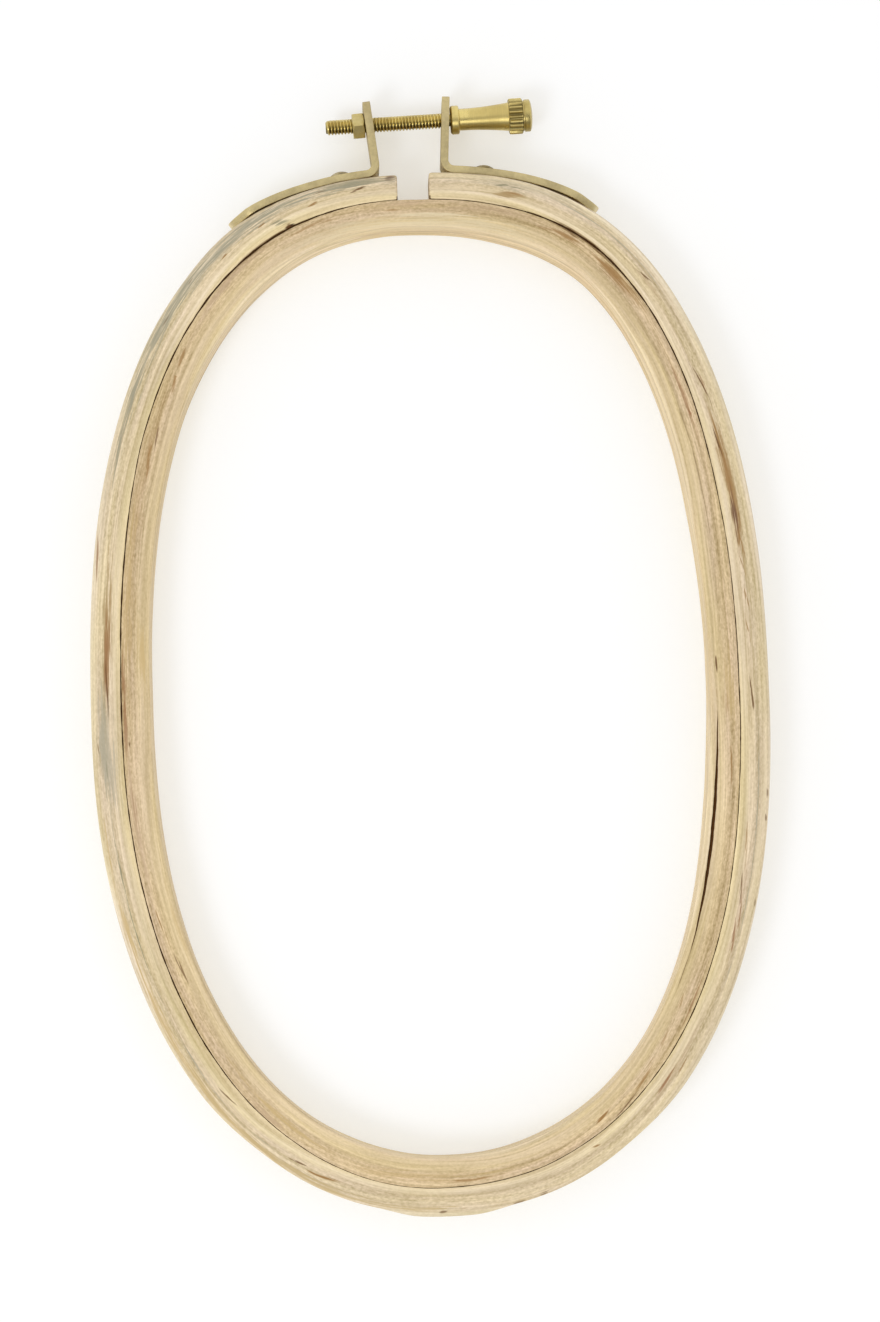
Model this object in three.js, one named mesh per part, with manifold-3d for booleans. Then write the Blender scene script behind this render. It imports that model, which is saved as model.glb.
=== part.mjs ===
// Oval embroidery hoop of bent wood with a brass screw clamp, lying flat, in millimetres, +Z up.
// The inner ring sits inside the split outer ring. A brass angle is riveted to each end of the
// outer ring, and a thumb screw and a hex nut draw the two upright tabs together.

import * as THREE from 'three';
import { mergeVertices } from 'three/addons/utils/BufferGeometryUtils.js';
import Module from 'manifold-3d';

// Outline of the outer ring, seen from above. It is a full oval, squarer at the clamp end, and its
// right half is a little fuller than its left.
const halfWidth = 65.3;
const clampReach = 104.3;
const farReach = 97.6;
const clampFullness = { left: 2.44, right: 2.52 };
const farFullness = { left: 2.19, right: 2.24 };
const outlineSteps = 112;

// Wooden rings
const ringDepth = 10;
const outerWall = 5.7;
const innerWall = 5.35;
const ringGap = 0.3;
const splitWidth = 6.2;
const easedEdge = 0.5;
const easedSteps = 2;

// Both ends of the outer ring are pared down on the outside, fully up to a distance from the middle.
const leftParing = { depth: 0.72, full: 18 };
const rightParing = { depth: 0.42, full: 8 };
const paringStart = 37;

// So are both flanks of its far end, fully between the middle two of these distances.
const farParing = { depth: 0.7, from: 5, full: 14, fade: 34, end: 47 };

// Brass strips, bent into angles
const stripThickness = 1.5;
const stripWidth = 8;
const footSteps = 18;
const bendInside = 1.2;
const bendSteps = 6;
const tabCornerRadius = 1;
const tipTaper = 4.6;
const tipRadius = 1.5;
const cornerSteps = 5;

// Each strip was bent by hand, so the two differ a little. The right foot stands off the wood at its tip.
const leftStrip = {
  side: -1,
  stand: 7.0,
  lean: THREE.MathUtils.degToRad(6.6),
  tabLength: 12.4,
  holeRise: 8.19,
  footLength: 28.8,
  tipLift: 0,
};
const rightStrip = {
  side: 1,
  stand: 6.14,
  lean: THREE.MathUtils.degToRad(3.2),
  tabLength: 12.6,
  holeRise: 8.35,
  footLength: 29.4,
  tipLift: 0.3,
};

// Rivets
const rivetPlace = 14.0;
const rivetShankRadius = 1;
const rivetHeadRadius = 2.4;
const rivetHeadHeight = 1.25;
const rivetTailRadius = 1.7;
const rivetTailHeight = 0.6;
const rivetTailSunk = 0.15;

// Thumb screw, one turned piece, and its nut
const screwRadius = 1.42;
const shankLength = 24.5;
const shankChamfer = 0.35;
const flangeRadius = 2.8;
const flangeThickness = 1.7;
const flangeEdge = 0.25;
const barrelLength = 9.7;
const barrelNeckRadius = 2.12;
const barrelMouthRadius = 2.78;
const barrelHollow = 0.02;
const knurlRadius = 3.5;
const knurlLength = 2.85;
const knurlTeeth = 22;
const knurlDepth = 0.28;
const grooveRadius = 2.9;
const grooveWidth = 0.25;
const capRadius = 3.15;
const capLength = 1.1;
const capDome = 0.5;
const nutAcrossFlats = 4.76;
const nutThickness = 2.3;
const nutChamfer = 0.25;
const nutTurn = THREE.MathUtils.degToRad(11.5);

// Clearances
const contactGap = 0.25;
const screwHoleClearance = 0.4;
const nutBoreClearance = 0.12;

const roundSegments = 32;
const cutOvershoot = 1;

const wasm = await Module();
wasm.setup();

// Solids are joined and cut as closed meshes whose shared corners are merged.
function toSolid(geometry) {
  const plain = geometry.clone();
  plain.deleteAttribute('normal');
  plain.deleteAttribute('uv');
  const merged = mergeVertices(plain);
  const corners = merged.index.array;
  const triangles = [];
  for (let i = 0; i < corners.length; i += 3) {
    const [a, b, c] = [corners[i], corners[i + 1], corners[i + 2]];
    if (a !== b && b !== c && c !== a) triangles.push(a, b, c);
  }
  return new wasm.Manifold(new wasm.Mesh({
    numProp: 3,
    vertProperties: merged.attributes.position.array,
    triVerts: new Uint32Array(triangles),
  }));
}

function toGeometry(solid) {
  const mesh = solid.getMesh();
  const geometry = new THREE.BufferGeometry();
  geometry.setAttribute('position', new THREE.BufferAttribute(mesh.vertProperties, 3));
  geometry.setIndex(new THREE.BufferAttribute(mesh.triVerts, 1));
  geometry.computeVertexNormals();
  return geometry;
}

// A point of the oval at an angle about its centre, moved inwards by an inset, with its normal.
function ovalPoint(angle, inset) {
  const across = Math.cos(angle);
  const along = Math.sin(angle);
  const reach = along >= 0 ? clampReach : farReach;
  const fullness = along >= 0 ? clampFullness : farFullness;
  const power = across < 0 ? fullness.left : fullness.right;
  const sum = Math.abs(across / halfWidth) ** power + Math.abs(along / reach) ** power;
  const radius = sum ** (-1 / power);
  const point = new THREE.Vector2(radius * across, radius * along);
  const normal = new THREE.Vector2(
    Math.sign(across) * Math.abs(point.x / halfWidth) ** (power - 1) / halfWidth,
    Math.sign(along) * Math.abs(point.y / reach) ** (power - 1) / reach,
  ).normalize();
  point.addScaledVector(normal, -inset);
  return { point, normal };
}

// The angle at which the oval, moved inwards by an inset, passes a given x on the clamp side.
function angleAcross(x, inset) {
  let low = 0;
  let high = Math.PI;
  for (let i = 0; i < 40; i += 1) {
    const middle = (low + high) / 2;
    if (ovalPoint(middle, inset).point.x > x) low = middle;
    else high = middle;
  }
  return (low + high) / 2;
}

// How much is pared off the outer face of the outer ring at a point of its outline.
function paringAt(point) {
  const { smoothstep } = THREE.MathUtils;
  const distance = Math.abs(point.x);
  if (point.y < 0) {
    const { depth, from, full, fade, end } = farParing;
    return depth * smoothstep(distance, from, full) * (1 - smoothstep(distance, fade, end));
  }
  const { depth, full } = point.x < 0 ? leftParing : rightParing;
  return depth * (1 - smoothstep(distance, full, paringStart));
}

// A point at a height above the outer face of the outer ring, with the outline's normal.
function facePoint(angle, height) {
  const { point, normal } = ovalPoint(angle, 0);
  return { point: point.clone().addScaledVector(normal, height - paringAt(point)), normal };
}

// The points that a function gives from one angle to another.
function arc(pointAt, from, to, steps) {
  const points = [];
  for (let i = 0; i <= steps; i += 1) points.push(pointAt(from + (to - from) * i / steps).point);
  return points;
}

// A ring outline pulled up to the ring's depth, with all its edges eased.
function pullRing(shape) {
  const geometry = new THREE.ExtrudeGeometry(shape, {
    depth: ringDepth - 2 * easedEdge,
    bevelThickness: easedEdge,
    bevelSize: easedEdge,
    bevelOffset: -easedEdge,
    bevelSegments: easedSteps,
  });
  return geometry.translate(0, 0, easedEdge);
}

// A frame on the outer face of the outer ring: x runs along the face, y points out, z is up.
function faceFrame(x) {
  const { point, normal } = facePoint(angleAcross(x, 0), 0);
  return new THREE.Matrix4().makeBasis(
    new THREE.Vector3(normal.y, -normal.x, 0),
    new THREE.Vector3(normal.x, normal.y, 0),
    new THREE.Vector3(0, 0, 1),
  ).setPosition(point.x, point.y, ringDepth / 2);
}

function outerRing() {
  const half = splitWidth / 2;
  const side = (pointAt, inset) => (
    arc(pointAt, angleAcross(-half, inset), angleAcross(half, inset) + 2 * Math.PI, outlineSteps)
  );
  const outside = side((angle) => facePoint(angle, 0), 0);
  const inside = side((angle) => ovalPoint(angle, outerWall), outerWall);
  let solid = toSolid(pullRing(new THREE.Shape([...outside, ...inside.reverse()])));
  for (const side of [-1, 1]) solid = solid.subtract(rivetHole(side));
  return toGeometry(solid);
}

function innerRing() {
  const outsideInset = outerWall + ringGap;
  const turn = 2 * Math.PI * (1 - 1 / outlineSteps);
  const loop = (inset) => arc((angle) => ovalPoint(angle, inset), 0, turn, outlineSteps - 1);
  const shape = new THREE.Shape(loop(outsideInset));
  shape.holes.push(new THREE.Path(loop(outsideInset + innerWall).reverse()));
  return pullRing(shape);
}

// The outer ring's thickness under a rivet.
function rivetWall(side) {
  return outerWall - paringAt(ovalPoint(angleAcross(side * rivetPlace, 0), 0).point);
}

// The hole for a rivet, with the recess inside the ring that takes the rivet's tail.
function rivetHole(side) {
  const holeRadius = rivetShankRadius + contactGap;
  const recessRadius = rivetTailRadius + contactGap;
  const wall = rivetWall(side);
  const recessFloor = -wall + rivetTailSunk + rivetTailHeight + contactGap;
  const hole = new THREE.LatheGeometry([
    new THREE.Vector2(0, -wall - cutOvershoot),
    new THREE.Vector2(recessRadius, -wall - cutOvershoot),
    new THREE.Vector2(recessRadius, recessFloor),
    new THREE.Vector2(holeRadius, recessFloor),
    new THREE.Vector2(holeRadius, contactGap + stripThickness + cutOvershoot),
    new THREE.Vector2(0, contactGap + stripThickness + cutOvershoot),
  ], roundSegments);
  return toSolid(hole.applyMatrix4(faceFrame(side * rivetPlace)));
}

// A domed rivet that passes through the strip and the wood, clenched in the recess inside.
function rivet(side) {
  const tailEnd = -rivetWall(side) + rivetTailSunk;
  const headSeat = contactGap + stripThickness + contactGap;
  const domeRadius = (rivetHeadRadius ** 2 + rivetHeadHeight ** 2) / (2 * rivetHeadHeight);
  const domeCentre = headSeat + rivetHeadHeight - domeRadius;
  const domeStart = Math.asin(rivetHeadRadius / domeRadius);
  const profile = [
    new THREE.Vector2(0, tailEnd),
    new THREE.Vector2(rivetTailRadius, tailEnd),
    new THREE.Vector2(rivetTailRadius, tailEnd + rivetTailHeight),
    new THREE.Vector2(rivetShankRadius, tailEnd + rivetTailHeight),
    new THREE.Vector2(rivetShankRadius, headSeat),
  ];
  for (let i = 0; i <= cornerSteps; i += 1) {
    const swing = domeStart * (1 - i / cornerSteps);
    profile.push(new THREE.Vector2(domeRadius * Math.sin(swing), domeCentre + domeRadius * Math.cos(swing)));
  }
  return new THREE.LatheGeometry(profile, roundSegments).applyMatrix4(faceFrame(side * rivetPlace));
}

// Where a tab stands: the centre of its bend, the way it points and the way its inner face looks.
function tabFrame({ side, stand, lean, holeRise }) {
  const bendMiddle = bendInside + stripThickness / 2;
  const up = new THREE.Vector2(side * Math.sin(lean), Math.cos(lean));
  const inwards = new THREE.Vector2(-side * Math.cos(lean), Math.sin(lean));
  const footAngle = angleAcross(side * (stand + bendMiddle), 0);
  const { point: bend, normal } = facePoint(footAngle, contactGap + stripThickness + bendInside);
  const hole = bend.clone().addScaledVector(inwards, bendMiddle).addScaledVector(up, holeRise);
  return { up, inwards, footAngle, normal, bend, hole };
}

// What is cut off the end of a strip so that only the given half outline, mirrored, is left.
function endTrim(halfOutline, origin, outwards) {
  const start = halfOutline[0];
  const end = halfOutline[halfOutline.length - 1];
  const beyond = start.y + cutOvershoot;
  const mirrored = halfOutline.slice(0, -1).reverse().map((p) => new THREE.Vector2(p.x, -p.y));
  const shape = new THREE.Shape([
    new THREE.Vector2(start.x, beyond),
    ...halfOutline,
    ...mirrored,
    new THREE.Vector2(start.x, -beyond),
    new THREE.Vector2(end.x + cutOvershoot, -beyond),
    new THREE.Vector2(end.x + cutOvershoot, beyond),
  ]);
  const depth = 4 * stripThickness;
  const prism = new THREE.ExtrudeGeometry(shape, { depth, bevelEnabled: false }).translate(0, 0, -depth / 2);
  const along = new THREE.Vector3(outwards.x, outwards.y, 0);
  const up = new THREE.Vector3(0, 0, 1);
  const frame = new THREE.Matrix4().makeBasis(along, up, along.clone().cross(up));
  return toSolid(prism.applyMatrix4(frame.setPosition(origin.x, origin.y, ringDepth / 2)));
}

// Half the outline of the foot's tip: a straight taper that runs into a round nose.
function tipOutline() {
  const run = tipTaper - tipRadius;
  const drop = stripWidth / 2;
  const tangentSwing = Math.atan2(run, drop) + Math.acos(tipRadius / Math.hypot(run, drop));
  const outline = [new THREE.Vector2(-tipTaper, drop)];
  for (let i = 0; i <= cornerSteps; i += 1) {
    const swing = (Math.PI - tangentSwing) * (1 - i / cornerSteps);
    outline.push(new THREE.Vector2(tipRadius * (Math.cos(swing) - 1), tipRadius * Math.sin(swing)));
  }
  return outline;
}

// Half the outline of the tab's end: square, with round corners.
function tabEndOutline() {
  const half = stripWidth / 2;
  const outline = [];
  for (let i = 0; i <= cornerSteps; i += 1) {
    const swing = (Math.PI / 2) * (1 - i / cornerSteps);
    outline.push(new THREE.Vector2(
      tabCornerRadius * (Math.cos(swing) - 1),
      half + tabCornerRadius * (Math.sin(swing) - 1),
    ));
  }
  return [...outline, new THREE.Vector2(0, 0)];
}

// The angle at which the foot ends, its length being measured along the ring.
function footEndAngle({ side, footLength }, footAngle) {
  const stride = THREE.MathUtils.degToRad(0.1) * side;
  let angle = footAngle;
  let travelled = 0;
  while (travelled < footLength) {
    const here = ovalPoint(angle, 0).point;
    travelled += here.distanceTo(ovalPoint(angle - stride, 0).point);
    angle -= stride;
  }
  return angle;
}

// A brass angle: a foot that follows the ring, a bend and an upright tab with the screw hole.
function bracket(strip) {
  const { side, tabLength, tipLift } = strip;
  const { up, inwards, footAngle, normal, bend, hole } = tabFrame(strip);
  const tipAngle = footEndAngle(strip, footAngle);
  const tipDistance = Math.abs(ovalPoint(tipAngle, 0).point.x);
  const footPoint = (angle, height) => {
    const distance = Math.abs(ovalPoint(angle, 0).point.x);
    const lift = tipLift * THREE.MathUtils.smoothstep(distance, rivetPlace, tipDistance);
    return facePoint(angle, height + lift);
  };
  const under = arc((angle) => footPoint(angle, contactGap), tipAngle, footAngle, footSteps);
  const over = arc((angle) => footPoint(angle, contactGap + stripThickness), footAngle, tipAngle, footSteps);
  const outside = [];
  const inside = [];
  const from = Math.atan2(-normal.y, -normal.x);
  const sweep = -side * ((Math.atan2(inwards.y, inwards.x) - from) * -side + 4 * Math.PI) % (2 * Math.PI);
  for (let i = 1; i <= bendSteps; i += 1) {
    const swing = from + sweep * i / bendSteps;
    const ray = new THREE.Vector2(Math.cos(swing), Math.sin(swing));
    outside.push(bend.clone().addScaledVector(ray, bendInside + stripThickness));
    inside.unshift(bend.clone().addScaledVector(ray, bendInside));
  }
  const tabTop = [bendInside + stripThickness, bendInside].map((reach) => (
    bend.clone().addScaledVector(inwards, reach).addScaledVector(up, tabLength)
  ));
  const edgeLine = new THREE.Shape([...under, ...outside, ...tabTop, ...inside, ...over]);
  const blank = new THREE.ExtrudeGeometry(edgeLine, { depth: stripWidth, bevelEnabled: false });
  const tip = footPoint(tipAngle, contactGap + stripThickness / 2);
  const tipWay = new THREE.Vector2(tip.normal.y, -tip.normal.x).multiplyScalar(side);
  const tabEnd = tabTop[0].clone().lerp(tabTop[1], 0.5);
  const screwHole = new THREE.CylinderGeometry(
    screwRadius + screwHoleClearance,
    screwRadius + screwHoleClearance,
    4 * stripThickness,
    roundSegments,
  );
  const across = Math.atan2(inwards.y, inwards.x) - Math.PI / 2;
  screwHole.rotateZ(across).translate(hole.x, hole.y, ringDepth / 2);
  const solid = toSolid(blank.translate(0, 0, (ringDepth - stripWidth) / 2))
    .subtract(endTrim(tipOutline(), tip.point, tipWay))
    .subtract(endTrim(tabEndOutline(), tabEnd, up))
    .subtract(toSolid(screwHole))
    .subtract(rivetHole(side));
  return toGeometry(solid);
}

// The screw's axis runs through the holes of both tabs, from the left to the right.
const leftHole = tabFrame(leftStrip).hole;
const rightHole = tabFrame(rightStrip).hole;
const screwAngle = Math.atan2(rightHole.y - leftHole.y, rightHole.x - leftHole.x);

// How far along the screw a round face of some radius rests from the middle of a slanted tab.
function seatDistance(slant, radius) {
  return stripThickness / 2 / Math.cos(slant) + radius * Math.tan(Math.abs(slant)) + contactGap;
}

const flangeSeat = seatDistance(rightStrip.lean + screwAngle, flangeRadius);
const nutSeat = seatDistance(leftStrip.lean - screwAngle, nutAcrossFlats / 2);

// Points at a hole's centre with the local y axis along the screw, towards the knob.
function screwFrame(hole) {
  const frame = new THREE.Matrix4().makeRotationZ(screwAngle - Math.PI / 2);
  return frame.setPosition(hole.x, hole.y, ringDepth / 2);
}

// The straight knurl, as a toothed ring.
function knurl() {
  const shape = new THREE.Shape();
  const pitch = 2 * Math.PI / knurlTeeth;
  for (let i = 0; i < knurlTeeth; i += 1) {
    for (const [step, radius] of [[0, knurlRadius - knurlDepth], [0.3, knurlRadius], [0.7, knurlRadius]]) {
      const swing = (i + step) * pitch;
      const [x, y] = [radius * Math.cos(swing), radius * Math.sin(swing)];
      if (i + step === 0) shape.moveTo(x, y);
      else shape.lineTo(x, y);
    }
  }
  const ring = new THREE.ExtrudeGeometry(shape, { depth: knurlLength, bevelEnabled: false });
  return ring.rotateX(-Math.PI / 2);
}

// The turned outline of the thumb screw, from its tail to the crown of its cap.
function screwProfile() {
  const tail = flangeSeat - shankLength;
  const barrelStart = flangeSeat + flangeThickness;
  const barrelEnd = barrelStart + barrelLength;
  const grooveStart = barrelEnd + knurlLength;
  const capStart = grooveStart + grooveWidth;
  const barrel = new THREE.QuadraticBezierCurve(
    new THREE.Vector2(barrelNeckRadius, barrelStart),
    new THREE.Vector2(barrelNeckRadius - barrelHollow, (barrelStart + barrelEnd) / 2),
    new THREE.Vector2(barrelMouthRadius, barrelEnd),
  ).getPoints(8);
  const dome = [];
  for (let i = 0; i <= cornerSteps; i += 1) {
    const swing = (Math.PI / 2) * i / cornerSteps;
    const height = capStart + capLength + capDome * Math.sin(swing);
    dome.push(new THREE.Vector2(capRadius * Math.cos(swing), height));
  }
  dome[cornerSteps].x = 0;
  return [
    new THREE.Vector2(0, tail),
    new THREE.Vector2(screwRadius - shankChamfer, tail),
    new THREE.Vector2(screwRadius, tail + shankChamfer),
    new THREE.Vector2(screwRadius, flangeSeat),
    new THREE.Vector2(flangeRadius - flangeEdge, flangeSeat),
    new THREE.Vector2(flangeRadius, flangeSeat + flangeEdge),
    new THREE.Vector2(flangeRadius, barrelStart - flangeEdge),
    new THREE.Vector2(flangeRadius - flangeEdge, barrelStart),
    ...barrel,
    new THREE.Vector2(grooveRadius, barrelEnd),
    new THREE.Vector2(grooveRadius, capStart),
    ...dome,
  ];
}

function thumbScrew() {
  const turned = toSolid(new THREE.LatheGeometry(screwProfile(), roundSegments));
  const knurlStart = flangeSeat + flangeThickness + barrelLength;
  const solid = turned.add(toSolid(knurl().translate(0, knurlStart, 0)));
  return toGeometry(solid).applyMatrix4(screwFrame(rightHole));
}

function hexNut() {
  const cornerRadius = nutAcrossFlats / Math.sqrt(3);
  const faceRadius = nutAcrossFlats / 2;
  const rise = nutThickness / 2;
  const hexagon = new THREE.CylinderGeometry(cornerRadius, cornerRadius, nutThickness, 6);
  const envelope = new THREE.LatheGeometry([
    new THREE.Vector2(0, -rise),
    new THREE.Vector2(faceRadius, -rise),
    new THREE.Vector2(cornerRadius, nutChamfer - rise),
    new THREE.Vector2(cornerRadius, rise - nutChamfer),
    new THREE.Vector2(faceRadius, rise),
    new THREE.Vector2(0, rise),
  ], roundSegments);
  const boreRadius = screwRadius + nutBoreClearance;
  const boreLength = nutThickness + 2 * cutOvershoot;
  const bore = new THREE.CylinderGeometry(boreRadius, boreRadius, boreLength, roundSegments);
  const solid = toSolid(hexagon.rotateY(nutTurn))
    .intersect(toSolid(envelope))
    .subtract(toSolid(bore));
  return toGeometry(solid).translate(0, -nutSeat - rise, 0).applyMatrix4(screwFrame(leftHole));
}

// Materials
const paleWood = new THREE.MeshStandardMaterial({ color: 0xdcc8a2, roughness: 0.72, metalness: 0 });
const warmWood = new THREE.MeshStandardMaterial({ color: 0xd9bf96, roughness: 0.7, metalness: 0 });
const stripBrass = new THREE.MeshStandardMaterial({ color: 0xb9a873, roughness: 0.42, metalness: 1 });
const turnedBrass = new THREE.MeshStandardMaterial({ color: 0xc8b068, roughness: 0.24, metalness: 1 });

function piece(name, geometry, material) {
  const mesh = new THREE.Mesh(geometry, material);
  mesh.name = name;
  return mesh;
}

const hoop = new THREE.Group();
hoop.add(
  piece('outer_ring', outerRing(), paleWood),
  piece('inner_ring', innerRing(), warmWood),
  piece('left_bracket', bracket(leftStrip), stripBrass),
  piece('right_bracket', bracket(rightStrip), stripBrass),
  piece('left_rivet', rivet(-1), stripBrass),
  piece('right_rivet', rivet(1), stripBrass),
  piece('thumb_screw', thumbScrew(), turnedBrass),
  piece('hex_nut', hexNut(), turnedBrass),
);

// The hoop stands with its underside at zero height and its middle, seen from above, at the origin.
const bounds = new THREE.Box3().setFromObject(hoop);
const middle = bounds.getCenter(new THREE.Vector3());
hoop.position.set(-middle.x, -middle.y, -bounds.min.z);

export default hoop;
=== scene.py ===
"""Oval embroidery hoop: its visible wood and brass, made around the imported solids, on a plain pale stage."""

import math

import bmesh
import bpy
import numpy as np
from bpy.props import FloatProperty, FloatVectorProperty, IntProperty, PointerProperty
from mathutils import Matrix, Vector


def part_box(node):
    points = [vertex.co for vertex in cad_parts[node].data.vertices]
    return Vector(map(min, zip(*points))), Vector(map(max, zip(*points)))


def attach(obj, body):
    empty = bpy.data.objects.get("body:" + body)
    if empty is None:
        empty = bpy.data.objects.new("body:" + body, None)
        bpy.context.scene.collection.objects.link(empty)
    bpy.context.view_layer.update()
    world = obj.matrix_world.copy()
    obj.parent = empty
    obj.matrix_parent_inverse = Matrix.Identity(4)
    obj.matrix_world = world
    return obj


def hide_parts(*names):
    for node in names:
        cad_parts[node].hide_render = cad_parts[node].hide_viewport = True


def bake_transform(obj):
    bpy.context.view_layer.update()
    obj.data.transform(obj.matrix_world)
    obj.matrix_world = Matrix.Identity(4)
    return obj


bl_info = {
    "name": "Oval embroidery hoop",
    "version": (1, 0, 0),
    "blender": (4, 5, 0),
    "location": "3D View > Sidebar > Hoop",
    "description": "Makes the wooden rings and the brass clamp of an oval embroidery hoop",
    "category": "Object",
}

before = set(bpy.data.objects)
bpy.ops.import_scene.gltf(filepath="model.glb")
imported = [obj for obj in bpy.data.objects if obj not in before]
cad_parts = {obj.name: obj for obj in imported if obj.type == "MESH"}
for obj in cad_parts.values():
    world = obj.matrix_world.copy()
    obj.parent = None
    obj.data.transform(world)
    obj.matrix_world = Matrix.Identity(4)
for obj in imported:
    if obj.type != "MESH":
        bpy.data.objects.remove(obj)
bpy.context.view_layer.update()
OUTER_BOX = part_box("outer_ring")
MM = 0.001
TURN = 2 * math.pi


# Settings

def length(name, text, default):
    return FloatProperty(
        name=name, description=text, default=default, unit="LENGTH", subtype="DISTANCE", precision=5)


def fullness(name, quarter, default):
    text = "How square the oval is in its " + quarter + "; 2 is an ellipse"
    return FloatProperty(name=name, description=text, default=default)


def colour(name, text, default):
    return FloatVectorProperty(
        name=name, description=text, default=default, size=3, min=0, max=1, subtype="COLOR")


class HoopRingSettings(bpy.types.PropertyGroup):
    half_width: length("Half width", "From the middle to the side of the outer ring", OUTER_BOX[1].x)
    clamp_reach: length("Clamp reach", "From the middle of the oval to its clamp end", 0.1043)
    far_reach: length("Far reach", "From the middle of the oval to its far end", 0.0976)
    clamp_left: fullness("Clamp left", "clamp half, left", 2.44)
    clamp_right: fullness("Clamp right", "clamp half, right", 2.52)
    far_left: fullness("Far left", "far half, left", 2.19)
    far_right: fullness("Far right", "far half, right", 2.24)
    depth: length("Depth", "Height of both rings", OUTER_BOX[1].z)
    outer_wall: length("Outer wall", "Thickness of the outer ring", 0.0057)
    inner_wall: length("Inner wall", "Thickness of the inner ring", 0.00535)
    ring_gap: length("Gap", "Room between the two rings", 0.0003)
    split_width: length("Split", "Width of the sawn gap in the outer ring", 0.0062)
    left_paring: length("Left paring", "How much thinner the left end is", 0.00072)
    left_pared: length("Left pared end", "How far from the middle the left end is at its thinnest", 0.018)
    right_paring: length("Right paring", "How much thinner the right end is", 0.00042)
    right_pared: length("Right pared end", "How far from the middle the right end is at its thinnest", 0.008)
    paring_start: length("Paring start", "How far from the middle both ends start to thin", 0.037)
    far_paring: length("Far paring", "How much thinner the flanks of the far end are", 0.0007)
    face_ease: length("Face rounding", "Rounding of the edges that hands touch", 0.0005)
    gap_ease: length("Gap rounding", "Rounding of the edges beside the gap", 0.00012)
    end_ease: length("End rounding", "Rounding of the sawn ends", 0.0005)


class HoopClampSettings(bpy.types.PropertyGroup):
    strip_thickness: length("Strip thickness", "Thickness of the brass strips", 0.0015)
    strip_width: length("Strip width", "Width of the brass strips", 0.008)
    strip_edge: length("Strip edge", "Rounding of the strips' edges", 0.00016)
    bend_inside: length("Bend", "Inside radius of the bend", 0.0012)
    tab_corner: length("Tab corner", "Rounding of a tab's corners", 0.001)
    tip_taper: length("Tip taper", "Length of the tapered tip", 0.0046)
    tip_radius: length("Tip radius", "Radius of the tip's nose", 0.0015)
    fit_gap: length("Fit gap", "Room between the packed solids that lie on each other", 0.00025)
    contact_gap: length("Contact gap", "Room left between visible pieces that lie on each other", 0.00008)
    rivet_place: length("Rivet place", "Distance of a rivet from the middle of the split", 0.014)
    rivet_head: length("Rivet head", "Radius of a rivet's dome", 0.0024)
    rivet_rise: length("Rivet rise", "Height of a rivet's dome", 0.00125)
    screw_radius: length("Screw radius", "Nominal outside radius of the thread", 0.00142)
    thread_pitch: length("Thread pitch", "Advance of the thread in one turn", 0.000635)
    shank_length: length("Shank length", "Length of the threaded shank", 0.0245)
    flange_radius: length("Flange radius", "Radius of the flange that rests on the tab", 0.0028)
    flange_thickness: length("Flange thickness", "Thickness of the flange", 0.0017)
    barrel_length: length("Barrel length", "Length of the flared barrel", 0.0097)
    knurl_radius: length("Knurl radius", "Outside radius of the knurled ring", 0.0035)
    knurl_length: length("Knurl length", "Length of the knurled ring", 0.00285)
    knurl_teeth: IntProperty(
        name="Knurl teeth", description="Ridges round the knurled ring", default=22, min=8, max=60)
    nut_across_flats: length("Nut across flats", "Width of the nut between two flats", 0.00476)
    nut_thickness: length("Nut thickness", "Thickness of the nut", 0.0023)


class HoopWoodSettings(bpy.types.PropertyGroup):
    cream: colour("Cream", "Palest wood", (0.76, 0.64, 0.42))
    rose: colour("Rose brown", "Pinkish brown wood", (0.52, 0.37, 0.23))
    sand: colour("Sand", "Yellow brown wood", (0.50, 0.385, 0.20))
    orange: colour("Orange", "Orange tan along an edge", (0.58, 0.42, 0.19))
    brown: colour("Brown", "Brown streaks", (0.32, 0.17, 0.05))
    rust: colour("Rust", "Reddish streaks", (0.27, 0.11, 0.035))
    # Bark also colours painted shade beside the gap between the rings, inside the crack and in lines under the
    # strips
    bark: colour("Bark", "Dark brown slits", (0.13, 0.052, 0.009))
    plum: colour("Plum", "Purple brown hearts of streaks", (0.15, 0.075, 0.045))
    grey: colour("Grey", "Weather stain", (0.40, 0.365, 0.27))
    blue_grey: colour("Blue grey", "Fungus stain", (0.25, 0.23, 0.14))
    dark: colour("Dark", "Cracks", (0.012, 0.006, 0.002))


class HoopBrassSettings(bpy.types.PropertyGroup):
    strip: colour("Strip brass", "Dull rolled brass", (0.63, 0.52, 0.27))
    strip_dull: colour("Tarnish", "Tarnished patches of the strips", (0.52, 0.43, 0.23))
    # The tip colour is a painted reflection that makes the strips' tips pale
    tip: colour("Tip", "Pale polished tips of the strips", (0.90, 0.80, 0.55))
    nut: colour("Nut brass", "Duller brass of the nut", (0.62, 0.52, 0.25))
    turned: colour("Turned brass", "Bright turned brass", (0.80, 0.65, 0.25))
    turned_dull: colour("Turned tarnish", "Duller turned brass", (0.60, 0.47, 0.17))


class HoopStageSettings(bpy.types.PropertyGroup):
    floor: colour("Floor", "Colour of the floor", (0.97, 0.97, 0.968))
    floor_glow: colour("Floor glow", "How pale and how warm the floor's shadows look", (0.52, 0.48, 0.40))
    floor_size: length("Floor size", "Side of the square floor", 6.0)
    world_strength: FloatProperty(name="World", description="Strength of the even light", default=0.88)
    key_power: FloatProperty(
        name="Key lamp", description="Power of the large soft lamp", default=2.2, unit="POWER")
    camera_lens: FloatProperty(
        name="Lens", description="Focal length of the camera", default=98.11, unit="CAMERA", subtype="NONE")


RINGS = "hoop_rings"
CLAMP = "hoop_clamp"
WOOD = "hoop_wood"
BRASS = "hoop_brass"
STAGE = "hoop_stage"


def settings(name):
    return getattr(bpy.context.scene, name)


# The oval

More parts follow.
